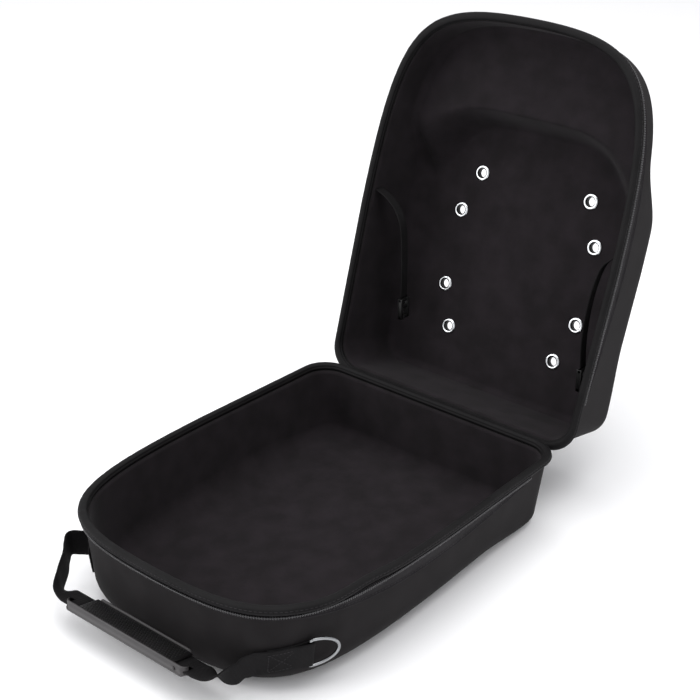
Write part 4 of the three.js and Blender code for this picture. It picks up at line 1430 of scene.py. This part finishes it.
        big = edge * 2.4
        out = rounded(near, bottom, big, big)[::-1]
        out += rounded(near, near_top, edge, -edge)[::-1]
        out += [(near + wall - edge * 0.3, near_top), (near + wall, near_top - edge * 0.5)]
        out += [(near + wall, floor + 0.0002), (near + wall + 0.0004, floor)]
        out += [(far - wall - 0.0004, floor), (far - wall, floor + 0.0002)]
        out += [(far - wall, far_top - edge * 0.5), (far - wall + edge * 0.3, far_top)]
        out += rounded(far, far_top, -edge, -min(edge, max(far_top - bottom, 0.001) * 0.3))
        out += rounded(far, bottom, -big, big)[::-1]
        return out

    def grip_insert(self) -> Obj:
        """Makes the soft grained insert in the channel, over the webbing's ends."""
        size = (self.grip_length - 2 * self.insert_from_end, self.grip_width - 2 * self.insert_margin,
                2 * (self.insert_top - self.insert_middle))
        mesh = bevelled_block(size, 0.0009, 3)
        placed = place_mesh(mesh, self.at_grip([0.0, 0.0, self.insert_middle]), *self.grip_axes())
        return link("grip_insert", placed, INSERT.material())

    def grip_domes(self) -> Obj:
        """Lays rows of small domes over the insert, which catch the light in spots."""
        reach = self.grip_length / 2 - self.domes_from_end
        sizes = {"Pitch": 0.0025, "Along": 0.0016, "Across": 0.0014, "Proud": 0.0010}
        rows = []
        for k, y in enumerate(np.linspace(-self.domes_reach, self.domes_reach, self.dome_rows)):
            end = reach - sizes["Pitch"] * 0.48 * (k % 2)
            path = resample(self.at_grip([[-end, y, self.insert_top], [end, y, self.insert_top]]), 8)
            out = np.tile(self.grip_axes()[2], (len(path), 1))
            rows.append(ROWS.lay(f"domes_{k}", path, out, sizes, INSERT))
        return joined("grip_domes", rows)

    def grip_pins(self) -> Obj:
        """Makes the two small pins at the right end: one in the far edge, one in the near wall."""
        _, ay, az = self.grip_axes()
        end = self.grip_length / 2
        spots = (((end - 0.0035, 0.0085, 0.0002), az, PLATE), ((end - 0.010, -0.0119, 0.0), -ay, GRIP))
        return joined("grip_pins", [dome(f"pin_{k}", self.at_grip(place), way, 0.0013, 0.0006, finish)
                                    for k, (place, way, finish) in enumerate(spots)])


DOME = ((1.0, -0.6), (1.0, 0.15), (0.92, 0.6), (0.7, 0.88), (0.35, 1.0))


def dome(name: str, place: Array, way: Array, radius: float, proud: float, finish: Finish) -> Obj:
    """Makes a small round head that stands proud of a surface.

    Args:
        name: the object's name.
        place: its middle on the surface.
        way: the way it faces.
        radius: how wide it is.
        proud: how high it stands.
        finish: what it is made of.
    """
    way = unit(way)
    side = unit(np.cross(way, UP if abs(way[2]) < 0.9 else RIGHTWARDS))
    other = np.cross(way, side)
    angle = np.linspace(0, TAU, 20, endpoint=False)
    rows = []
    circle = np.cos(angle)[:, None] * side + np.sin(angle)[:, None] * other
    for share, lift in DOME:
        rows.append(place + way * proud * lift + circle * radius * share)
    return Skin(np.stack(rows), cap_first=True, cap_last=True).build(name, finish)


@dataclass
class Slider:
    """The zip's slider with its pull, parked on the tray's left side near the hinge."""

    length: float = 0.012
    height: float = 0.008
    plate: float = 0.0012
    neck_height: float = 0.0022
    bridge: float = 0.0009
    bridge_height: float = 0.0026
    pull_length: float = 0.022
    pull_width: float = 0.006
    pull_thickness: float = 0.00096

    def build(self) -> Obj:
        """Makes the slider's two plates, bridge and pull."""
        low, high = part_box("zip_slider")
        x_in, x_out, y = high[0], low[0], (low[1] + high[1]) / 2
        z = high[2] - self.height / 2
        blocks = (
            ((self.plate, self.length, self.height), 0.0005, (x_in - 0.0008, y, z)),
            ((self.plate, self.length * 0.45, self.neck_height), 0.0004, (x_in - 0.0018, y, z)),
            ((self.bridge, self.length * 0.8, self.bridge_height), 0.0004, (x_out + 0.0006, y, z)),
            ((self.pull_thickness, self.pull_width, self.pull_length), 0.0005,
             (x_out + 0.0011, y, low[2] + self.pull_length / 2)),
        )
        return joined("slider_and_pull", [
            link("slider_part", place_mesh(bevelled_block(size, bevel), np.array(place)), TEETH.material())
            for size, bevel, place in blocks])


@dataclass
class InnerStrap:
    """An elastic strap that hangs plumb in the open lid from the side wall, with a buckle on its end."""

    side: Side
    width: float = 0.009
    thickness: float = 0.001
    anchor_from_hinge: float = 0.170
    anchor_depth: float = 0.009
    gap: float = 0.0003
    buckle_length: float = 0.021
    buckle_width: float = 0.012
    buckle_thickness: float = 0.005
    buckle_end: float = 0.0034
    buckle_side: float = 0.0026
    droops: dict[Side, tuple[Triple, ...]] = field(default_factory=lambda: {
        Side.LEFT: ((0.0008, 0, 0), (0.012, 0.001, 0.004), (0.024, 0.002, 0.013), (0.032, 0.003, 0.029),
                    (0.034, 0.003, 0.060), (0.034, 0.003, 0.100)),
        Side.RIGHT: ((0.0016, 0, 0), (0.009, 0.006, 0.009), (0.013, 0.012, 0.030), (0.015, 0.016, 0.056),
                     (0.015, 0.018, 0.080), (0.014, 0.018, 0.100)),
    })

    def line(self) -> Array:
        """Returns the strap's places, from its anchor down."""
        y = HALF_LENGTH - self.anchor_from_hinge
        reach = HALF_WIDTH - LID_WALL.thickness - LID_WALL.lean.side * self.anchor_depth / LID_WALL.lid_depth
        anchor = HINGE.stand(np.array([self.side.value * (reach - self.gap), y, self.anchor_depth]))
        return np.array([anchor + [-self.side.value * inward, -forward, -down]
                         for inward, forward, down in self.droops[self.side]])

    def strap(self) -> Obj:
        """Makes the strap."""
        path = curve_through(self.line(), 48)
        across = np.tile(REARWARDS, (len(path), 1))
        ribbon = Ribbon(self.width, self.thickness, ELASTIC, ribs_across=5)
        return ribbon.build(f"inner_strap_{self.side.label}", path, across)

    def buckle(self) -> Obj:
        """Makes the buckle: a bevelled body with a bar across a window, and its tail loop."""
        end = self.line()[-1]
        centre = end - UP * (self.gap + self.buckle_length / 2)
        length, width, thick = self.buckle_length, self.buckle_width, self.buckle_thickness
        up, across = (length - self.buckle_end) / 2, (width - self.buckle_side) / 2
        blocks = [((thick * 0.7, width, self.buckle_end), (0.0, 0.0, z)) for z in (up, -up)]
        blocks += [((thick, self.buckle_side, length), (0.0, y, 0.0)) for y in (across, -across)]
        blocks.append(((thick * 0.6, width - 0.002, 0.0030), (0.0, 0.0, 0.0015)))
        parts = []
        for k, (size, place) in enumerate(blocks):
            mesh = place_mesh(bevelled_block(size, 0.0006), centre + np.array(place))
            parts.append(link(f"buckle_part_{k}", mesh, BUCKLE.material()))
        return joined(f"strap_buckle_{self.side.label}", parts)


@dataclass
class Studio:
    """A pale floor, soft light and the camera at the photographed angle."""

    camera_place: Triple = (0.65545, -0.73957, 0.69336)
    azimuth: float = math.radians(39.54)
    elevation: float = math.radians(27.07)
    focal_pixels: float = 1447.2
    frame_pixels: float = 700.0
    sensor: float = 36.0
    floor_half: float = 6.0
    room_light: float = 0.8
    lamps: tuple[tuple[str, Triple, Triple, float, float], ...] = (
        ("overhead_softbox", (0.1, 0.1, 1.9), (0.0, 0.05, 0.0), 1.8, 27),
        ("front_left_fill", (-1.3, -1.4, 1.0), (0.0, 0.0, 0.15), 1.4, 20),
        ("right_fill", (1.7, -0.5, 1.1), (0.0, 0.05, 0.15), 1.4, 2),
    )

    def build(self) -> None:
        """Sets up the floor, the lights, the world and the camera."""
        self._floor()
        for lamp in self.lamps:
            self._lamp(*lamp)
        self._world()
        self._camera()
        settings = bpy.context.scene.view_settings
        settings.view_transform = "Standard"
        settings.look = "None"

    def _floor(self) -> None:
        """Lays a wide pale floor."""
        mesh = bpy.data.meshes.new("studio_floor")
        s = self.floor_half
        mesh.from_pydata([(-s, -s, 0), (s, -s, 0), (s, s, 0), (-s, s, 0)], [], [(0, 1, 2, 3)])
        made = bpy.data.materials.new("pale_floor")
        made.use_nodes = True
        shader = made.node_tree.nodes["Principled BSDF"]
        shader.inputs["Base Color"].default_value = linear("#fcfcfd")
        shader.inputs["Roughness"].default_value = 0.9
        link("studio_floor", mesh, made)

    def _lamp(self, name: str, place: Triple, target: Triple, size: float, power: float) -> None:
        """Hangs a square soft light that faces a point."""
        light = bpy.data.lights.new(name, "AREA")
        light.size, light.energy = size, power
        lamp = link(name, light)
        lamp.location = place
        way = Vector(target) - Vector(place)
        lamp.rotation_euler = way.to_track_quat("-Z", "Y").to_euler()

    def _world(self) -> None:
        """Fills the room with even pale light."""
        world = bpy.data.worlds.new("studio_world")
        world.use_nodes = True
        background = world.node_tree.nodes["Background"]
        background.inputs["Color"].default_value = linear("#fbfbfd")
        background.inputs["Strength"].default_value = self.room_light
        bpy.context.scene.world = world

    def _camera(self) -> None:
        """Places the camera."""
        data = bpy.data.cameras.new("camera")
        data.sensor_width = self.sensor
        data.lens = self.focal_pixels / self.frame_pixels * self.sensor
        camera = link("camera", data)
        a, e = self.azimuth, self.elevation
        back = Vector((math.sin(a) * math.cos(e), -math.cos(a) * math.cos(e), math.sin(e)))
        camera.location = self.camera_place
        camera.rotation_euler = (-back).to_track_quat("-Z", "Y").to_euler()
        bpy.context.scene.camera = camera


def settle(piece: Obj, half: Half, slot: str, *nodes: str) -> Obj:
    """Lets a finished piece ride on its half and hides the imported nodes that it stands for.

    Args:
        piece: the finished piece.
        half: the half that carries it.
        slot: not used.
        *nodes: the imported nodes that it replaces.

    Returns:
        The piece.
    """
    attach(piece, half.value)
    if nodes:
        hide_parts(*nodes)
    log.info("%s: %d faces", piece.name, len(piece.data.polygons))
    return piece


def build_rim(lip: Lip, names: tuple[str, ...]) -> None:
    """Makes a half's lip and zip with their seams.

    Args:
        lip: the half's lip.
        names: of the lip, its seam, the tape, its seam and the teeth.
    """
    half, half_zip = lip.wall.half, Zip(lip.wall)
    binding, binding_seam, tape, tape_seam, teeth = names
    settle(lip.build(binding), half, "binding", f"{half.value}_lip")
    settle(lip.seam(binding_seam), half, "binding")
    settle(half_zip.tape(tape), half, "binding", f"{half.value}_zip_tape")
    settle(half_zip.seam(tape_seam), half, "binding")
    settle(half_zip.teeth(teeth), half, "zip", f"{half.value}_zip_teeth")


def build_tray() -> None:
    """Makes the tray with its lip, its half of the zip and the slider."""
    settle(TrayShell().build(), Half.TRAY, "shell", "base_shell")
    build_rim(Lip(TRAY_WALL, sway=0.0022),
              ("tray_lip", "tray_lip_seam", "tray_zip_tape", "tray_zip_seam", "tray_zip_teeth"))
    settle(Slider().build(), Half.TRAY, "zip", "zip_slider")


def build_handle() -> None:
    """Makes the handle: webbing, rings and grip."""
    handle = Handle()
    for side in Side:
        settle(handle.strap(side), Half.TRAY, "webbing", f"handle_webbing_{side.label}")
        settle(handle.tack(side), Half.TRAY, "webbing")
        settle(handle.ring(side), Half.TRAY, "steel", f"d_ring_{side.label}")
    settle(handle.grip_body(), Half.TRAY, "grip", "handle_grip")
    for piece in (handle.grip_insert, handle.grip_domes, handle.grip_pins):
        settle(piece(), Half.TRAY, "grip")


def build_lid() -> None:
    """Makes the lid with its lip, its half of the zip, the eyelets and the straps."""
    lid = LidShell()
    eyelets = Eyelets(lid)
    centres = eyelets.centres()
    settle(lid.build(centres, eyelets.barrel + eyelets.play), Half.LID, "shell", "lid_shell")
    build_rim(Lip(LID_WALL),
              ("lid_lip_binding", "lid_lip_seam", "lid_tape", "lid_tape_seam", "lid_teeth"))
    for number, centre in enumerate(centres, start=1):
        settle(eyelets.build(number, centre), Half.LID, "steel", f"eyelet_{number}")
    for side in Side:
        strap = InnerStrap(side)
        settle(strap.strap(), Half.LID, "elastic", f"strap_{side.label}")
        settle(strap.buckle(), Half.LID, "buckle", f"buckle_{side.label}")


def main() -> None:
    """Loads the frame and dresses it."""
    logging.basicConfig(level=logging.INFO, format="%(name)s: %(message)s")
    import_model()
    Studio().build()
    build_tray()
    build_handle()
    HingeCloth().build()
    build_lid()


if __name__ == "__main__":
    main()
